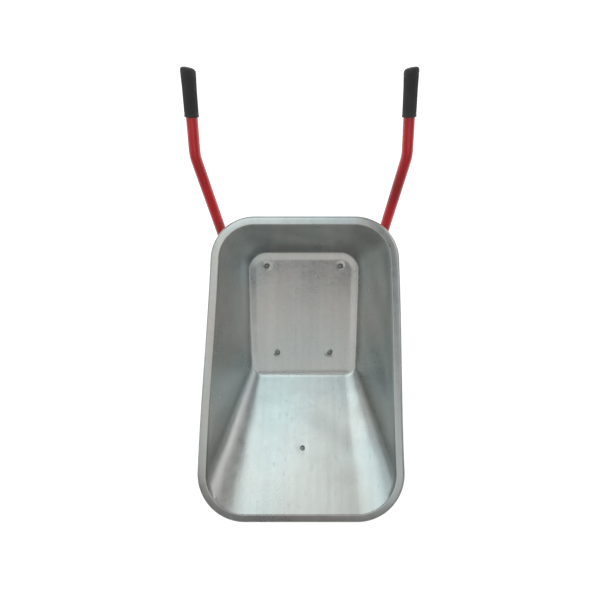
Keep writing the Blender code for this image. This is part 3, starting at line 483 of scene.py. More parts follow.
def gloss_paint(name, colour, scuffed_below=0.02, amount=0.12):
    """Enamel with a little orange peel and soft patches of grime; chips gather low down, near the
    ground.
    """
    mat, tree, shader = blank_material(name, 0.0, coat=0.45, coat_roughness=0.12)
    place = node(tree, "ShaderNodeTexCoord").outputs["Object"]
    height = node(tree, "ShaderNodeSeparateXYZ", {0: place}).outputs["Z"]
    low = spread(tree, height, scuffed_below, scuffed_below + 0.03, 1.0, 0.0)
    wear = node(tree, "ShaderNodeGroup", node_tree=PAINT_WEAR)
    tree.links.new(place, wear.inputs["Place"])
    tree.links.new(math_node(tree, "MULTIPLY_ADD", low, 0.75, amount), wear.inputs["Amount"])
    dark = tuple(0.62 * c for c in colour)
    paint = mix_colour(tree, wear.outputs["Dirt"], (*colour, 1.0), (*dark, 1.0))
    bare = mix_colour(tree, wear.outputs["Peel"], (0.16, 0.13, 0.11, 1.0), (0.30, 0.28, 0.27, 1.0))
    tree.links.new(mix_colour(tree, wear.outputs["Chips"], paint, bare),
                   shader.inputs["Base Color"])
    tree.links.new(math_node(tree, "MULTIPLY", wear.outputs["Chips"], 0.8),
                   shader.inputs["Metallic"])
    rough = spread(tree, wear.outputs["Dirt"], 0.0, 1.0, 0.30, 0.42)
    tree.links.new(math_node(tree, "MULTIPLY_ADD", wear.outputs["Chips"], 0.2, rough),
                   shader.inputs["Roughness"])
    lift = math_node(tree, "MULTIPLY", wear.outputs["Peel"], 0.00003)
    lift = math_node(tree, "MULTIPLY_ADD", wear.outputs["Chips"], -0.00012, lift)
    bumped(tree, shader, lift, 0.5)
    return mat


RED_PAINT = gloss_paint("red_enamel", RED)


def mirrored(points, side):
    """The points on the left side for 1, or their mirror image on the right for -1."""
    return np.asarray(points, float) * (side, 1.0, 1.0)


for word, side in SIDES:
    path = rounded_path(mirrored(RAIL_POINTS, side), (0.10, 0.10, 0.13))
    rail = surface(f"rail_tube_{word}", closed_ends(tube_grid(path, RAIL_R, (1.0, 0.0, 0.0))),
                   wrap_columns=True, weld=True, outward=True)
    dress(rail, RED_PAINT, "frame", f"rail_{word}", slot="red_paint")

# ------------------------------------------------------------------------------- the grips
# Moulded black sleeves pushed over the ends of the rails: a smooth collar, fine ribs along
# the hand's length, and a closed, slanted end that is longer on its outer side.
GRIP_R, GRIP_SWELL, GRIP_LENGTH, GRIP_WALL = 0.0190, 0.001, 0.122, 0.009
GRIP_BLACK = (0.021, 0.021, 0.0205)
HANDLE_WAY = (RAIL_POINTS[4] - RAIL_POINTS[3]) / np.linalg.norm(RAIL_POINTS[4] - RAIL_POINTS[3])


def grip_grid(side, ribs=40, slant=0.0030, corner=0.0085):
    """Rings from the open end to the middle of the closed end.

    The radius is the sleeve's, with a collar, less a rib wave of 40 turns that fades at both
    ends. The last rings round over by a quarter circle. Every ring near the end is pushed
    along the handle in proportion to how far outwards its points lie.
    """
    way = HANDLE_WAY * (side, 1.0, 1.0)
    out = np.array((side, 0.0, 0.0)) - way * way[0] * side
    out /= np.linalg.norm(out)
    low, high = GRIP_WALL - GRIP_LENGTH, GRIP_WALL - slant
    z = np.concatenate(([low, low], np.linspace(low + 0.0006, high - corner, 70)))
    radius = GRIP_R + GRIP_SWELL * smooth((z + 0.05) / 0.05)
    radius[:2] = (0.0163, GRIP_R - 0.0008)
    radius[2:] += 0.0006 * (1.0 - smooth((z[2:] - low - 0.004) / 0.003))
    radius[2:] += 0.0005 * np.exp(-((z[2:] - high + corner + 0.0035) / 0.0012) ** 2)
    rib = smooth((z - low - 0.010) / 0.006) * (1.0 - smooth((z - high + corner + 0.012) / 0.004))
    b = np.radians(np.linspace(0.0, 90.0, 9)[1:])
    last = radius[-1]
    z = np.concatenate((z, high - corner + corner * np.sin(b), [high + 0.0006] * 3))
    radius = np.concatenate((radius, last - corner + corner * np.cos(b), [0.009, 0.004, 0.0]))
    rib = np.concatenate((rib, np.zeros(11)))
    a = np.linspace(0.0, 2.0 * math.pi, ribs * 6, endpoint=False)
    wave = (0.5 + 0.5 * np.cos(ribs * a)) ** 2
    r = radius[:, None] - 0.0006 * rib[:, None] * wave[None, :]
    push = slant * r / last * np.cos(a)[None, :] * smooth((z + 0.03) / 0.03)[:, None]
    along = (z[:, None] + push)[:, :, None]
    ring = out * np.cos(a)[:, None] + np.cross(way, out) * np.sin(a)[:, None]
    return mirrored(RAIL_POINTS[4], side) + way * along + ring[None] * r[:, :, None]


def dull_black(name, colour, rough, dust=0.0, dust_colour=(0.16, 0.14, 0.12), grain=0.00006):
    """Rubber or moulded plastic: near black, with a fine grain and dust in soft patches."""
    mat, tree, shader = blank_material(name, 0.0)
    place = node(tree, "ShaderNodeTexCoord").outputs["Object"]
    patch = noise(tree, place, 16.0, 6.0, 0.62)
    fine = noise(tree, place, 900.0)
    lit = tuple(1.5 * c for c in colour)
    base = mix_colour(tree, spread(tree, patch.outputs["Fac"], 0.35, 0.65), (*colour, 1.0),
                      (*lit, 1.0))
    share = spread(tree, patch.outputs["Fac"], 0.48, 0.80, 0.0, dust)
    tree.links.new(mix_colour(tree, share, base, (*dust_colour, 1.0)), shader.inputs["Base Color"])
    tree.links.new(spread(tree, patch.outputs["Fac"], 0.3, 0.7, rough - 0.06, rough + 0.08),
                   shader.inputs["Roughness"])
    height = math_node(tree, "MULTIPLY", fine.outputs["Fac"], grain)
    bumped(tree, shader, height, 0.7)
    return mat


GRIP_RUBBER = dull_black("grip_rubber", GRIP_BLACK, 0.55, 0.04)
for word, side in SIDES:
    grip = surface(f"ribbed_grip_{word}", grip_grid(side), wrap_columns=True, weld=True,
                   outward=True)
    dress(grip, GRIP_RUBBER, "frame", f"grip_{word}", slot="grip")

# ------------------------------------------------------------------------------- rail plugs
# Black plastic caps in the rails' open front ends, with a thin rounded head that covers the
# cut edge of the tube and a spigot that holds by friction.
PLUG_PROFILE = [(0.0, 0.0033), (0.0150, 0.0033), (0.0160, 0.0023), (0.0160, 0.0003),
                (0.0142, 0.0003), (0.0142, -0.0160), (0.0, -0.0160)]


def across_frame(axis):
    """Three unit vectors: two square to the axis, and the axis."""
    axis = np.asarray(axis, float) / np.linalg.norm(axis)
    guide = np.array((0.0, 1.0, 0.0)) if abs(axis[1]) < 0.8 else np.array((0.0, 0.0, 1.0))
    first = np.cross(guide, axis)
    first /= np.linalg.norm(first)
    return first, np.cross(axis, first), axis


def revolved(profile, origin, axis, columns=64):
    """The profile's (radius, height) pairs turned round the axis, heights along it."""
    profile = np.asarray(profile, float)
    first, second, axis = across_frame(axis)
    a = np.linspace(0.0, 2.0 * math.pi, columns, endpoint=False)
    ring = first * np.cos(a)[:, None] + second * np.sin(a)[:, None]
    return (np.asarray(origin, float) + axis * profile[:, 1][:, None, None]
            + ring[None] * profile[:, 0][:, None, None])


BLACK_PLASTIC = dull_black("black_plastic", (0.022, 0.022, 0.023), 0.48, 0.10)
for word, side in SIDES:
    plug = surface(f"end_cap_{word}", revolved(filleted(PLUG_PROFILE, 0.0010),
                                               mirrored(RAIL_POINTS[0], side),
                                               (0.0, -1.0, 0.0)),
                   wrap_columns=True, weld=True, outward=True)
    dress(plug, BLACK_PLASTIC, "frame", f"rail_plug_{word}", slot="grip")

# ------------------------------------------------------------------------------- legs and stays
# Each leg is one 25 mm tube bent to a flat foot, with its two ends welded up to the rail. A
# 20 mm tube braces the legs, and a bent hoop of the same tube holds the tray's nose.
LEG_R, BRACE_R, STAY_R = 0.0125, 0.010, 0.010
LEG_Y = (-0.020, 0.085, 0.172, 0.143)
BRACE_Z = 0.105
CLEARANCE = 0.0003
NOSE_SEAT, NOSE_NORMAL = slope_point()


def rail_at(y):
    """The rail's centre line at y on the left side, and its direction there."""
    i = int(np.clip(np.searchsorted(RAIL_POINTS[:, 1], y) - 1, 0, 3))
    low, high = RAIL_POINTS[i], RAIL_POINTS[i + 1]
    return low + (high - low) * (y - low[1]) / (high[1] - low[1]), high - low


def leg_line():
    """The left leg's corners: rail, front foot, rear foot, rail."""
    top_front, top_rear = rail_at(LEG_Y[0])[0], rail_at(LEG_Y[3])[0]
    feet = [np.array((rail_at(y)[0][0], y, LEG_R)) for y in LEG_Y[1:3]]
    return np.array((top_front, *feet, top_rear))


def tube_piece(name, path, radius, across, sides=40):
    """A tube along the path, closed at both ends."""
    return surface(name, closed_ends(tube_grid(path, radius, across, sides)), wrap_columns=True,
                   weld=True, outward=True)


LEG_POINTS = leg_line()
for word, side in SIDES:
    path = rounded_path(mirrored(LEG_POINTS, side), (0.030, 0.030), 10)
    leg = tube_piece(f"leg_tube_{word}", path, LEG_R, (1.0, 0.0, 0.0))
    dress(leg, RED_PAINT, "frame", f"leg_{word}", slot="red_paint")

rear_foot, rear_top = LEG_POINTS[2], LEG_POINTS[3]
leg_way = rear_top - rear_foot
brace_end = rear_foot + leg_way * (BRACE_Z - rear_foot[2]) / leg_way[2]
brace_path = np.linspace(brace_end, mirrored(brace_end, -1.0), 30)
brace = tube_piece("leg_brace_tube", brace_path, BRACE_R, (0.0, 1.0, 0.0))
dress(brace, RED_PAINT, "frame", "leg_brace", slot="red_paint")

stay_top = NOSE_SEAT - NOSE_NORMAL * (SHEET + CLEARANCE + STAY_R)
hoop = np.array([(RAIL_X, stay_top[1], RAIL_Z), (RAIL_X, stay_top[1], stay_top[2]),
                 (-RAIL_X, stay_top[1], stay_top[2]), (-RAIL_X, stay_top[1], RAIL_Z)])
stay = tube_piece("nose_hoop", rounded_path(hoop, (0.055, 0.055), 16), STAY_R, (0.0, 1.0, 0.0))
dress(stay, RED_PAINT, "frame", "nose_stay", slot="red_paint")

# ------------------------------------------------------------------------------- cross members
# Two pieces of 2.5 mm strip folded to a channel that is open below, welded across the rails
# and between the legs; the floor of the tray is bolted down on them.
CHANNEL_WALL = 0.0025
DISH_ROOM = 0.0014


def channel_grid(low, high, stations=24, bend=0.0045):
    """Middle surface of the folded strip: its rounded section carried along X."""
    half = CHANNEL_WALL / 2.0
    y0, y1, z0, z1 = low[1] + half, high[1] - half, low[2], high[2] - half - DISH_ROOM
    section = filleted([(y0, z0), (y0, z1), (y1, z1), (y1, z0)], bend, 6)
    x = np.linspace(low[0], high[0], stations)
    grid = np.zeros((stations, len(section), 3))
    grid[:, :, 0] = x[:, None]
    grid[:, :, 1:] = section[None]
    return grid


def channel(name, cad_node):
    """A folded member with its strip's thickness, over the box of its CAD node."""
    low, high = (np.array(corner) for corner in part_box(cad_node))
    made = surface(name, channel_grid(low, high))
    wall = made.modifiers.new("strip", "SOLIDIFY")
    wall.thickness = CHANNEL_WALL
    wall.offset = 0.0
    return dress(made, RED_PAINT, "frame", cad_node, slot="red_paint")


channel("front_channel", "front_cross_member")
channel("rear_channel", "rear_cross_member")

# ------------------------------------------------------------------------------- weld beads
# Every joint of the frame is a run of arc weld under the paint: a bead about 4 mm wide, with
# the small ripples that its pools leave, along the line where the two parts meet.
BEAD_R = 0.0023


def cope_line(start, way, radius, rail_point, rail_way, rail_radius, count=120):
    """Where lines along a tube's surface first meet another tube, from a quadratic in each."""
    way = np.asarray(way, float) / np.linalg.norm(way)
    rail_way = np.asarray(rail_way, float) / np.linalg.norm(rail_way)
    first, second, _ = across_frame(way)
    a = np.linspace(0.0, 2.0 * math.pi, count, endpoint=False)[:, None]
    line = start + radius * (first * np.cos(a) + second * np.sin(a))
    gap = line - rail_point
    gap -= (gap @ rail_way)[:, None] * rail_way
    run = way - (way @ rail_way) * rail_way
    half_b = gap @ run
    root = np.sqrt(np.maximum(half_b ** 2 - (run @ run) * ((gap * gap).sum(1)
                                                           - rail_radius ** 2), 0.0))
    return line + way * ((-half_b - root) / (run @ run))[:, None]


def bead_grid(path, closed=True, sides=10, ripples=34):
    """A round bead along the path, its radius rippled by a tenth of itself."""
    if closed:
        tangent = np.roll(path, -1, axis=0) - np.roll(path, 1, axis=0)
    else:
        tangent = np.gradient(path, axis=0)
    tangent /= np.linalg.norm(tangent, axis=1)[:, None]
    away = path - path.mean(0) + (0.0, 0.0, 0.0001)
    side = np.cross(tangent, away)
    side /= np.linalg.norm(side, axis=1)[:, None]
    up = np.cross(side, tangent)
    t = np.linspace(0.0, 2.0 * math.pi, len(path), endpoint=not closed)
    radius = BEAD_R * (1.0 + 0.12 * np.sin(ripples * t))[:, None, None]
    a = np.linspace(0.0, 2.0 * math.pi, sides, endpoint=False)[None, :, None]
    return path[:, None] + radius * (side[:, None] * np.cos(a) + up[:, None] * np.sin(a))


def weld(name, path, closed=True):
    """A painted bead along the path, fixed to the frame."""
    grid = bead_grid(path, closed)
    made = surface(name, grid if closed else closed_ends(grid), wrap_rows=closed,
                   wrap_columns=True, weld=not closed, outward=True)
    return dress(made, RED_PAINT, "frame", slot="red_paint")


for word, side in SIDES:
    flip = np.array((side, 1.0, 1.0))
    for tag, foot, y in (("front", LEG_POINTS[1], LEG_Y[0]), ("rear", rear_foot, LEG_Y[3])):
        rail_spot, rail_way = rail_at(y)
        weld(f"weld_leg_{tag}_{word}", cope_line(foot * flip, (rail_spot - foot) * flip, LEG_R,
                                                 rail_spot * flip, rail_way * flip, RAIL_R))
    weld(f"weld_brace_{word}", cope_line(np.zeros(3) + (0.0, brace_end[1], BRACE_Z),
                                         (side, 0.0, 0.0), BRACE_R, rear_foot * flip,
                                         leg_way * flip, LEG_R))
    weld(f"weld_stay_{word}", cope_line(np.array((side * RAIL_X, stay_top[1], 0.34)),
                                        (0.0, 0.0, -1.0), STAY_R,
                                        np.array((side * RAIL_X, 0.0, RAIL_Z)),
                                        (0.0, 1.0, 0.0), RAIL_R))
    front_low, front_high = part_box("front_cross_member")
    for tag, y in (("ahead", front_low[1] - 0.0010), ("behind", front_high[1] + 0.0010)):
        spot, _ = rail_at(y)
        x = spot[0] + np.linspace(-0.011, 0.011, 60)
        z = spot[2] + np.sqrt(np.maximum(RAIL_R ** 2 - (x - spot[0]) ** 2, 0.0)) + 0.0006
        weld(f"weld_member_{tag}_{word}", np.column_stack((x * side, np.full(60, y), z)), False)

# ------------------------------------------------------------------------------- axle brackets
# Flat plates of 4 mm steel, cut round below the axle, welded under the front of each rail and
# painted with the frame.
AXLE = np.array((0.0, -0.456, 0.180))
BRACKET_WALL, BRACKET_HALF, BRACKET_NOSE = 0.004, 0.036, 0.019


def plate_grid(outline, wall, edge=0.0007):
    """Rows across a plate's edge: face, rounded edge, side, rounded edge, other face."""
    outline = np.asarray(outline, float)
    way = np.roll(outline, -1, axis=0) - np.roll(outline, 1, axis=0)
    out = np.column_stack((way[:, 1], -way[:, 0]))
    out /= np.linalg.norm(out, axis=1)[:, None]
    half = wall / 2.0
    rows = [(None, half), (-edge, half), (-0.3 * edge, half - 0.3 * edge), (0.0, half - edge),
            (0.0, edge - half), (-0.3 * edge, 0.3 * edge - half), (-edge, -half), (None, -half)]
    grid = np.zeros((len(rows), len(outline), 3))
    for row, (shift, x) in zip(grid, rows):
        flat = outline.mean(0) if shift is None else outline + out * shift
        row[:, 1:] = flat
        row[:, 0] = x
    return grid


def bracket_outline():
    """Plan of the bracket in (y, z) from the axle: round below, straight along the rail."""
    top = RAIL_Z - RAIL_R - CLEARANCE - AXLE[2]
    a = np.radians(np.linspace(-165.0, -15.0, 25))
    round_end = BRACKET_NOSE * np.column_stack((np.cos(a), np.sin(a)))
    sides = np.linspace((BRACKET_HALF, top), (-BRACKET_HALF, top), 20)
    return np.concatenate((round_end, sides))[::-1]


for word, side in SIDES:
    grid = plate_grid(bracket_outline(), BRACKET_WALL) + AXLE + (side * RAIL_X, 0.0, 0.0)
    bracket = surface(f"drop_bracket_{word}", grid, wrap_columns=True, weld=True, outward=True)
    dress(bracket, RED_PAINT, "frame", f"axle_bracket_{word}", slot="red_paint")
    for tag, shift in (("in", -1.0), ("out", 1.0)):
        y = np.linspace(-0.032, 0.032, 110) + AXLE[1]
        x = np.full(110, side * RAIL_X + shift * (BRACKET_WALL / 2.0 + 0.0006))
        line = np.column_stack((x, y, np.full(110, RAIL_Z - RAIL_R - 0.0006)))
        weld(f"weld_bracket_{tag}_{word}", line, False)

# ------------------------------------------------------------------------------- tray fasteners
# Bright zinc-plated round-headed bolts, pulled down into shallow dishes in the sheet, each
# with a washer and a hexagon nut under the member or hoop that it holds.
BOLT_R, HEAD_R, HEAD_H = 0.003, 0.0086, 0.0042
NUT_FLATS, NUT_H, WASHER_R, WASHER_H = 0.010, 0.005, 0.0085, 0.0016


def plated(name, colour, rough, cloud=0.10, grain=0.00003, metallic=1.0):
    """Plated or painted bright metal: cloudy tone, fine grain, and dull rubbed spots."""
    mat, tree, shader = blank_material(name, metallic)
    place = node(tree, "ShaderNodeTexCoord").outputs["Object"]
    patch = noise(tree, place, 60.0, 5.0, 0.6)
    fine = noise(tree, place, 1400.0)
    level = spread(tree, patch.outputs["Fac"], 0.3, 0.7, 1.0 - cloud, 1.0)
    scaled = node(tree, "ShaderNodeVectorMath", {0: colour}, operation="SCALE")
    tree.links.new(level, scaled.inputs["Scale"])
    tree.links.new(scaled.outputs[0], shader.inputs["Base Color"])
    tree.links.new(spread(tree, patch.outputs["Fac"], 0.3, 0.7, rough + 0.10, rough - 0.05),
                   shader.inputs["Roughness"])
    height = math_node(tree, "MULTIPLY", fine.outputs["Fac"], grain)
    bumped(tree, shader, height, 0.5)
    return mat


def hexagon_grid(flats, height, bore, origin, axis, columns=72):
    """A nut: rows round its section, with both corners cut by a 30 degree cone.

    The side lies at flats / 2 over the cosine of the angle from the nearest flat, and the
    side's height falls by the tangent of 30 degrees times what it stands past the flats.
    """
    first, second, axis = across_frame(axis)
    a = np.linspace(0.0, 2.0 * math.pi, columns, endpoint=False)
    side = flats / 2.0 / np.cos(np.mod(a + math.pi / 6.0, math.pi / 3.0) - math.pi / 6.0)
    fall = (side - flats * 0.485) * math.tan(math.radians(30.0))
    half, flat = height / 2.0, np.ones(columns)
    rows = [(bore * flat, half * flat), (flats * 0.485 * flat, half * flat),
            (side, half - fall), (side, fall - half), (flats * 0.485 * flat, -half * flat),
            (bore * flat, -half * flat)]
    r = np.array([row[0] for row in rows])[:, :, None]
    h = np.array([row[1] for row in rows])[:, :, None]
    ring = (first * np.cos(a)[:, None] + second * np.sin(a)[:, None])[None]
    return np.asarray(origin, float) + axis * h + ring * r


def threaded_grid(radius, low, high, origin, axis, pitch=0.001, columns=24):
    """A screw's surface: the radius less a wave that climbs one pitch in each turn."""
    first, second, axis = across_frame(axis)
    z = np.linspace(low, high, max(4, int((high - low) / pitch * 6)))
    a = np.linspace(0.0, 2.0 * math.pi, columns, endpoint=False)
    wave = 0.5 - 0.5 * np.cos(2.0 * math.pi * z[:, None] / pitch - a[None, :])
    r = (radius - 0.0003 * wave)[:, :, None]
    ring = (first * np.cos(a)[:, None] + second * np.sin(a)[:, None])[None]
    return np.asarray(origin, float) + axis * z[:, None, None] + ring * r


def crisp(piece):
    """Shades every edge sharper than 24 degrees as a corner."""
    piece.data.set_sharp_from_angle(angle=math.radians(24.0))
    return piece


def joined(name, *objects):
    """One object from several, under the new name."""
    work = bmesh.new()
    for piece in objects:
        work.from_mesh(piece.data)
    work.to_mesh(objects[0].data)
    work.free()
    for piece in objects[1:]:
        bpy.data.objects.remove(piece)
    objects[0].name = name
    return crisp(objects[0])


def solid(name, grid, ring=False):
    """A closed body from turned rows; a ring's last row joins its first one."""
    return surface(name, grid, wrap_rows=ring, wrap_columns=True, weld=not ring, outward=True)


ZINC_PLATE = plated("zinc_plate", (0.60, 0.60, 0.57), 0.30)
# The bolts' zinc, rougher and at half the plate's brightness: the darkness is painted shade that
# makes the round heads read dark.
ZINC_WITH_PAINTED_SHADE = plated("zinc_with_painted_shade", (0.30, 0.31, 0.29), 0.38, 0.30)
BOLT_PLACES = {"nose": (NOSE_SEAT, NOSE_NORMAL)}
for tag, spot in FLOOR_BOLTS.items():
    BOLT_PLACES[tag] = (np.array((*spot, FLOOR_Z)), UPRIGHT)
for tag, (seat, normal) in BOLT_PLACES.items():
    grip = SHEET + CLEARANCE + (2.0 * STAY_R if tag == "nose" else CHANNEL_WALL + DISH_ROOM)
    depth = grip + 0.0006 + WASHER_H + NUT_H
    a = np.radians(np.linspace(90.0, 12.0, 12))
    dome = np.column_stack((HEAD_R * np.cos(a), HEAD_H * np.sin(a)))
    head_profile = np.concatenate((dome, [(HEAD_R, 0.0), (HEAD_R - 0.0006, -0.0004),
                                          (BOLT_R, -0.0004)]))
    top = seat - normal * 0.0021
    head = solid(f"bolt_head_{tag}", revolved(head_profile, top, normal, 48))
    shank = solid(f"bolt_shank_{tag}", closed_ends(threaded_grid(
        BOLT_R, -depth - BOLT_R + 0.0017, -0.0004, top, normal)))
    bolt = joined(f"round_bolt_{tag}", head, shank)
    # The round bolt gets the darker zinc, whose colour is painted shade on its head.
    dress(bolt, ZINC_WITH_PAINTED_SHADE, "frame", f"tray_bolt_{tag}", slot="zinc")
    middle = seat - normal * (grip + CLEARANCE + WASHER_H / 2.0)
    ring = filleted([(0.0033, 0.0008), (WASHER_R, 0.0008), (WASHER_R, -0.0008),
                     (0.0033, -0.0008)], 0.0003, 3, closed=True)
    washer = solid(f"washer_{tag}", revolved(ring, middle, normal, 48), True)
    dress(washer, ZINC_PLATE, "frame", f"tray_washer_{tag}", slot="zinc")
    middle = middle - normal * (WASHER_H / 2.0 + CLEARANCE + NUT_H / 2.0)
    nut = crisp(solid(f"nut_{tag}", hexagon_grid(NUT_FLATS, NUT_H, 0.0033, middle, normal), True))
    dress(nut, ZINC_PLATE, "frame", f"tray_nut_{tag}", slot="zinc")

# ------------------------------------------------------------------------------- the axle
# A 12 mm hexagon bolt through both brackets, with a washer under its head and its nut, and
# turned spacers that hold the wheel in the middle between them.
BRACKET_OUT, BRACKET_IN = 0.100, 0.096
AXLE_WASHER, AXLE_NUT = 0.0025, 0.010
AXLE_R, AXLE_FLATS = 0.006, 0.019
AXIS_X = (1.0, 0.0, 0.0)


def on_axle(x):
    """The axle's point at x."""
    return AXLE + (x, 0.0, 0.0)


def sleeve(name, outer, inner, low, high, edge=0.0006, columns=72):
    """A ring round the axle from low to high in x, with rounded edges."""
    ring = filleted([(inner, high), (outer, high), (outer, low), (inner, low)], edge, 3, True)
    return solid(name, revolved(ring, AXLE, AXIS_X, columns), True)


nut_low = BRACKET_OUT + CLEARANCE + AXLE_WASHER + CLEARANCE
axle_head = solid("axle_head", closed_ends(hexagon_grid(
    AXLE_FLATS, AXLE_NUT * 0.8, 0.001, on_axle(-nut_low - AXLE_NUT * 0.4), AXIS_X)))
axle_shank = solid("axle_shank", revolved(
    [(0.0, -nut_low), (AXLE_R, -nut_low), (AXLE_R, nut_low), (AXLE_R, nut_low + 0.001)],
    AXLE, AXIS_X, 40))
axle_thread = solid("axle_thread", closed_ends(threaded_grid(
    AXLE_R, nut_low, nut_low + AXLE_NUT + 0.004, AXLE, AXIS_X, 0.00175, 40)))
axle = joined("axle_bolt_turned", axle_head, axle_shank, axle_thread)
dress(axle, ZINC_PLATE, "frame", "axle_bolt", slot="zinc")
nut = crisp(solid("axle_nut_turned", hexagon_grid(
    AXLE_FLATS, AXLE_NUT, 0.0063, on_axle(nut_low + AXLE_NUT / 2.0), AXIS_X), True))
dress(nut, ZINC_PLATE, "frame", "axle_nut", slot="zinc")
for word, side in SIDES:
    low, high = sorted((side * (BRACKET_OUT + CLEARANCE), side * (nut_low - CLEARANCE)))
    dress(sleeve(f"axle_washer_turned_{word}", 0.0125, 0.0063, low, high), ZINC_PLATE, "frame",
          f"axle_washer_{word}", slot="zinc")
    low, high = sorted((side * 0.0453, side * (BRACKET_IN - CLEARANCE)))
    dress(sleeve(f"axle_spacer_turned_{word}", 0.010, 0.0063, low, high), ZINC_PLATE, "frame",
          f"axle_spacer_{word}", slot="zinc")

# ------------------------------------------------------------------------------- rim and hub
# Two pressed steel discs, bolted back to back at four points so that the rim can be split to
# change the tube; each is dished out to the welded hub tube. Silver enamel.
RIM_SHEET, RIM_SEAT, HUB_R = 0.0016, 0.1018, 0.0195
HALF_RIM = [(RIM_SEAT + 0.0117, 0.0365), (RIM_SEAT + 0.0102, 0.0335), (RIM_SEAT + 0.0027, 0.0325),
            (RIM_SEAT, 0.0300), (RIM_SEAT - 0.0020, 0.0150), (RIM_SEAT - 0.0078, 0.0095),
            (0.0880, 0.0012), (0.0850, 0.00015), (0.0680, 0.00015), (0.0640, 0.0020),
            (0.0400, 0.0300), (0.0330, 0.0340), (HUB_R + CLEARANCE, 0.0340)]
SILVER = plated("silver_enamel", (0.56, 0.57, 0.57), 0.34, 0.12, 0.00003, 0.75)
for word, side in SIDES:
    profile = filleted(HALF_RIM, 0.0022, 4) * (1.0, side)
    half = surface(f"pressed_rim_{word}", revolved(profile, AXLE, AXIS_X, 128),
                   wrap_columns=True)
    if side > 0:
        half.data.flip_normals()
    wall = half.modifiers.new("sheet", "SOLIDIFY")
    wall.thickness = RIM_SHEET
    wall.offset = -1.0
    dress(half, SILVER, "wheel", f"rim_half_{word}", slot="rim_zinc")
    cap_x = sorted((side * 0.0453, side * 0.0467))
    dress(sleeve(f"dust_seal_{word}", 0.0160, 0.0106, *cap_x, 0.0004), BLACK_PLASTIC, "wheel",
          f"dust_cap_{word}", slot="black_plastic")
hub_loop = filleted([(HUB_R, 0.0470), (HUB_R, -0.0470), (0.0163, -0.0470), (0.0163, -0.0347),
                     (0.0137, -0.0347), (0.0137, 0.0347), (0.0163, 0.0347), (0.0163, 0.0470)],
                    0.0008, 3, True)
hub = solid("hub_tube", revolved(hub_loop, AXLE, AXIS_X, 96), True)
dress(hub, SILVER, "wheel", "hub", slot="zinc")

for k in range(1, 5):
    low, high = (np.array(corner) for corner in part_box(f"rim_bolt_{k}"))
    spot = (low + high) / 2.0 * (0.0, 1.0, 1.0)
    head = solid(f"rim_head_{k}", closed_ends(hexagon_grid(
        NUT_FLATS, 0.004, 0.001, spot + (-0.00405, 0.0, 0.0), AXIS_X)))
    shank = solid(f"rim_shank_{k}", closed_ends(threaded_grid(
        BOLT_R, -0.0022, 0.0103, spot, AXIS_X)))
    dress(joined(f"rim_bolt_turned_{k}", head, shank), ZINC_PLATE, "wheel", f"rim_bolt_{k}",
          slot="zinc")
    nut = crisp(solid(f"rim_nut_turned_{k}", hexagon_grid(
        NUT_FLATS, NUT_H, 0.0033, spot + (0.00455, 0.0, 0.0), AXIS_X), True))
    dress(nut, ZINC_PLATE, "wheel", f"rim_nut_{k}", slot="zinc")

# ------------------------------------------------------------------------------- the tyre
# A 3.50-8 pneumatic tyre: black vulcanised rubber with a groove round its crown, lugs cut by
# slanted grooves on both sides of it, and two fine rings on each side wall.
TYRE_R, TYRE_BEAD = 0.180, 0.1023
TYRE_OUTSIDE = np.array([(1.0, 0.0), (0.990, 0.0130), (0.942, 0.0260), (0.846, 0.0365),
                         (0.717, 0.0425), (0.537, 0.0450), (0.356, 0.0435), (0.202, 0.0385),
                         (0.129, 0.0328), (0.045, 0.0320), (0.0, 0.0290), (0.0, 0.0225)])
TYRE_INSIDE = np.array([(0.077, 0.0235), (0.254, 0.0350), (0.537, 0.0400), (0.704, 0.0370),
                        (0.820, 0.0290), (0.897, 0.0130), (0.910, 0.0)])


def tyre_grid(lugs=34, per_lug=12, half_rows=64, depth=0.0030):
    """The tyre's section turned round the axle, its crown lowered where the tread is cut.

    The half section is the listed points with rounded corners, spaced evenly. The cut is 1 in
    the middle groove and in slanted grooves: where the lug's phase, shifted by half a lug from
    side to side and slanted by the distance from the middle, is under its groove share.
    """
    half = filleted(TYRE_OUTSIDE, 0.09, 6)
    half[:, 0] = TYRE_BEAD + (TYRE_R - TYRE_BEAD) * half[:, 0]
    step = np.concatenate(([0.0], np.cumsum(np.linalg.norm(np.diff(half, axis=0), axis=1))))
    s = np.linspace(0.0, step[-1], half_rows)
    side = np.column_stack((np.interp(s, step, half[:, 0]), np.interp(s, step, half[:, 1])))
    side[:, 1] += 0.0006 * (np.exp(-((side[:, 0] - 0.150) / 0.0010) ** 2)
                            + np.exp(-((side[:, 0] - 0.125) / 0.0010) ** 2)) * (side[:, 1] > 0.02)
    inner = TYRE_INSIDE.copy()
    inner[:, 0] = TYRE_BEAD + (TYRE_R - TYRE_BEAD) * inner[:, 0]
    loop = np.concatenate((side[::-1], side[1:] * (1.0, -1.0), inner * (1.0, -1.0),
                           inner[-2::-1]))
    x = loop[:, 1][:, None]
    count = lugs * per_lug
    a = np.linspace(0.0, 2.0 * math.pi, count, endpoint=False)[None, :]
    phase = np.mod(a * lugs / (2.0 * math.pi) + 0.25 * np.sign(x) + 18.0 * np.abs(x), 1.0)
    across = np.minimum(phase, 1.0 - phase)
    cut = 1.0 - smooth((across - 0.10) / 0.05)
    cut = cut * smooth((np.abs(x) - 0.006) / 0.002) * (1.0 - smooth((np.abs(x) - 0.0385) / 0.003))
    middle = 1.0 - smooth((np.abs(x) - 0.0022) / 0.0012)
    outside = (np.arange(len(loop)) < 2 * half_rows - 1)[:, None] & (loop[:, :1] > 0.162)
    r = loop[:, :1] - depth * np.maximum(cut, middle) * outside
    first, second, axis = across_frame(AXIS_X)
    ring = first * np.cos(a)[0][:, None] + second * np.sin(a)[0][:, None]
    return AXLE + axis * loop[:, 1][:, None, None] + ring[None] * r[:, :, None]


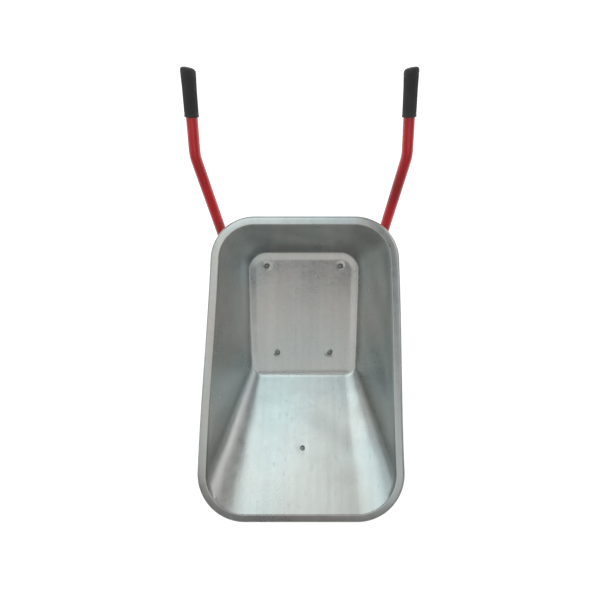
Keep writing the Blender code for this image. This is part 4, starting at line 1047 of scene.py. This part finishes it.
TYRE_RUBBER = dull_black("tyre_rubber", (0.017, 0.017, 0.017), 0.72, 0.22, (0.13, 0.115, 0.095),
                         0.00010)
tyre = solid("treaded_tyre", tyre_grid(), True)
dress(tyre, TYRE_RUBBER, "wheel", "tyre", slot="tyre")

# ------------------------------------------------------------------------------- the valve
# The tube's rubber valve comes through the left half of the rim and ends in a ribbed cap.
VALVE_PHI, VALVE_X, VALVE_START = math.radians(35.0), 0.015, 0.10948
inward = -np.array((0.0, math.sin(VALVE_PHI), -math.cos(VALVE_PHI)))
valve_seat = AXLE - inward * VALVE_START + (VALVE_X, 0.0, 0.0)
stem_profile = [(0.0, 0.041), (0.0024, 0.041), (0.0025, 0.027), (0.0036, 0.027), (0.0040, 0.020),
                (0.0040, 0.0), (0.0, 0.0)]
stem = solid("rubber_valve", revolved(filleted(stem_profile, 0.0008, 3), valve_seat, inward, 32))
SOFT_RUBBER = dull_black("soft_rubber", (0.020, 0.020, 0.020), 0.62, 0.10)
dress(stem, SOFT_RUBBER, "wheel", "valve_stem", slot="rubber")


def ribbed_cap_grid(columns=60, ribs=12):
    """A short cup whose outer rings carry twelve ribs, closed over its top."""
    profile = filleted([(0.0028, 0.0276), (0.0044, 0.0276), (0.0043, 0.0405), (0.0036, 0.0434),
                        (0.0, 0.0435)], 0.0005, 3)
    grid = revolved(profile, valve_seat, inward, columns)
    core = valve_seat + inward * profile[:, 1][:, None, None]
    a = np.linspace(0.0, 2.0 * math.pi, columns, endpoint=False)
    rib = 1.0 - 0.08 * (0.5 - 0.5 * np.cos(ribs * a))[None, :] * (profile[:, :1] > 0.0035)
    return core + (grid - core) * rib[:, :, None]


cap = solid("ribbed_valve_cap", ribbed_cap_grid())
dress(cap, BLACK_PLASTIC, "wheel", "valve_cap", slot="black_plastic")

# ------------------------------------------------------------------------------- hidden pieces
# The ball bearings, the tube between them on the axle and the inner tube are the CAD's own
# pieces: ground steel races and balls, a zinc-plated sleeve, and soft black rubber.
BEARING_STEEL = plated("bearing_steel", (0.58, 0.58, 0.60), 0.20, 0.06, 0.00001)
for word, _ in SIDES:
    for kind in ("inner", "outer", "cage"):
        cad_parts[f"bearing_{kind}_{word}"].material_slots[0].material = BEARING_STEEL
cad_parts["bearing_spacer"].material_slots[0].material = ZINC_PLATE
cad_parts["inner_tube"].material_slots[0].material = SOFT_RUBBER

# ------------------------------------------------------------------------------- stage and lights
# A wide pale floor that is clear from below, soft boxes overhead, behind and at both sides,
# and a camera that looks straight down from just over a metre above the rim.
LENS = 27.18
CAMERA_HEIGHT = 1.83
CAMERA_X = 0.042
CAMERA_Y = 0.029


def area_light(name, place, target, size, power, colour):
    """A rectangular soft box, with its width and height, turned to face its target."""
    light = bpy.data.lights.new(name, "AREA")
    light.energy = power
    light.color = colour
    light.shape = "RECTANGLE"
    light.size, light.size_y = size
    made = bpy.data.objects.new(name, light)
    bpy.context.scene.collection.objects.link(made)
    made.location = place
    way = np.asarray(target, float) - np.asarray(place, float)
    made.rotation_euler = Vector(way).to_track_quat("-Z", "Y").to_euler()
    return made


world = bpy.data.worlds.new("studio")
bpy.context.scene.world = world
world.use_nodes = True
world.node_tree.nodes["Background"].inputs[0].default_value = (0.97, 0.98, 1.0, 1.0)
world.node_tree.nodes["Background"].inputs[1].default_value = 0.23

floor_mesh = bpy.data.meshes.new("studio_floor")
floor_mesh.from_pydata([(-40, -40, 0), (40, -40, 0), (40, 40, 0), (-40, 40, 0)], [],
                       [(0, 1, 2, 3)])
studio_floor = bpy.data.objects.new("studio_floor", floor_mesh)
bpy.context.scene.collection.objects.link(studio_floor)
pale, pale_tree, pale_shader = blank_material("pale_floor", 0.0, roughness=0.8)
pale_shader.inputs["Base Color"].default_value = (0.80, 0.80, 0.80, 1.0)
pale_shader.inputs["Emission Color"].default_value = (1.0, 1.0, 1.0, 1.0)
pale_shader.inputs["Emission Strength"].default_value = 0.75
clear = node(pale_tree, "ShaderNodeBsdfTransparent")
facing = node(pale_tree, "ShaderNodeNewGeometry")
seen = node(pale_tree, "ShaderNodeMixShader", {0: facing.outputs["Backfacing"],
                                               1: pale_shader.outputs[0], 2: clear.outputs[0]})
pale_tree.links.new(seen.outputs[0], pale_tree.nodes["Material Output"].inputs["Surface"])
floor_mesh.materials.append(pale)

area_light("top_softbox", (-0.2, -1.15, 4.0), (-0.05, -0.7, 0.4), (7.0, 2.6), 33.5,
           (1.0, 0.970, 0.930))
area_light("strip_light", (-0.7, 1.35, 3.9), (-0.1, -0.2, 0.4), (3.4, 0.6), 7.0,
           (1.0, 0.975, 0.93))
area_light("rear_softbox", (-1.2, 2.9, 3.4), (-0.2, -0.4, 0.4), (3.8, 2.1), 38.0,
           (0.85, 0.99, 1.0))
area_light("left_softbox", (-3.4, 0.4, 2.5), (0.0, -0.2, 0.4), (4.0, 2.2), 16.0,
           (0.90, 0.99, 1.0))
area_light("right_softbox", (3.2, 0.6, 3.0), (0.0, -0.2, 0.4), (3.2, 2.0), 14.0,
           (1.0, 0.99, 0.99))
area_light("corner_softbox", (2.7, 2.2, 2.2), (0.0, -0.4, 0.4), (1.8, 1.8), 7.0,
           (1.0, 0.99, 0.99))

camera_data = bpy.data.cameras.new("camera")
camera_data.lens = LENS
camera_data.sensor_width = 36.0
camera_data.shift_x = -CAMERA_X * LENS / (36.0 * (CAMERA_HEIGHT - 0.640))
camera = bpy.data.objects.new("camera", camera_data)
bpy.context.scene.collection.objects.link(camera)
camera.location = (CAMERA_X, CAMERA_Y, CAMERA_HEIGHT)
camera.rotation_euler = (0.0, 0.0, 0.0)
bpy.context.scene.camera = camera
bpy.context.scene.view_settings.view_transform = "Standard"
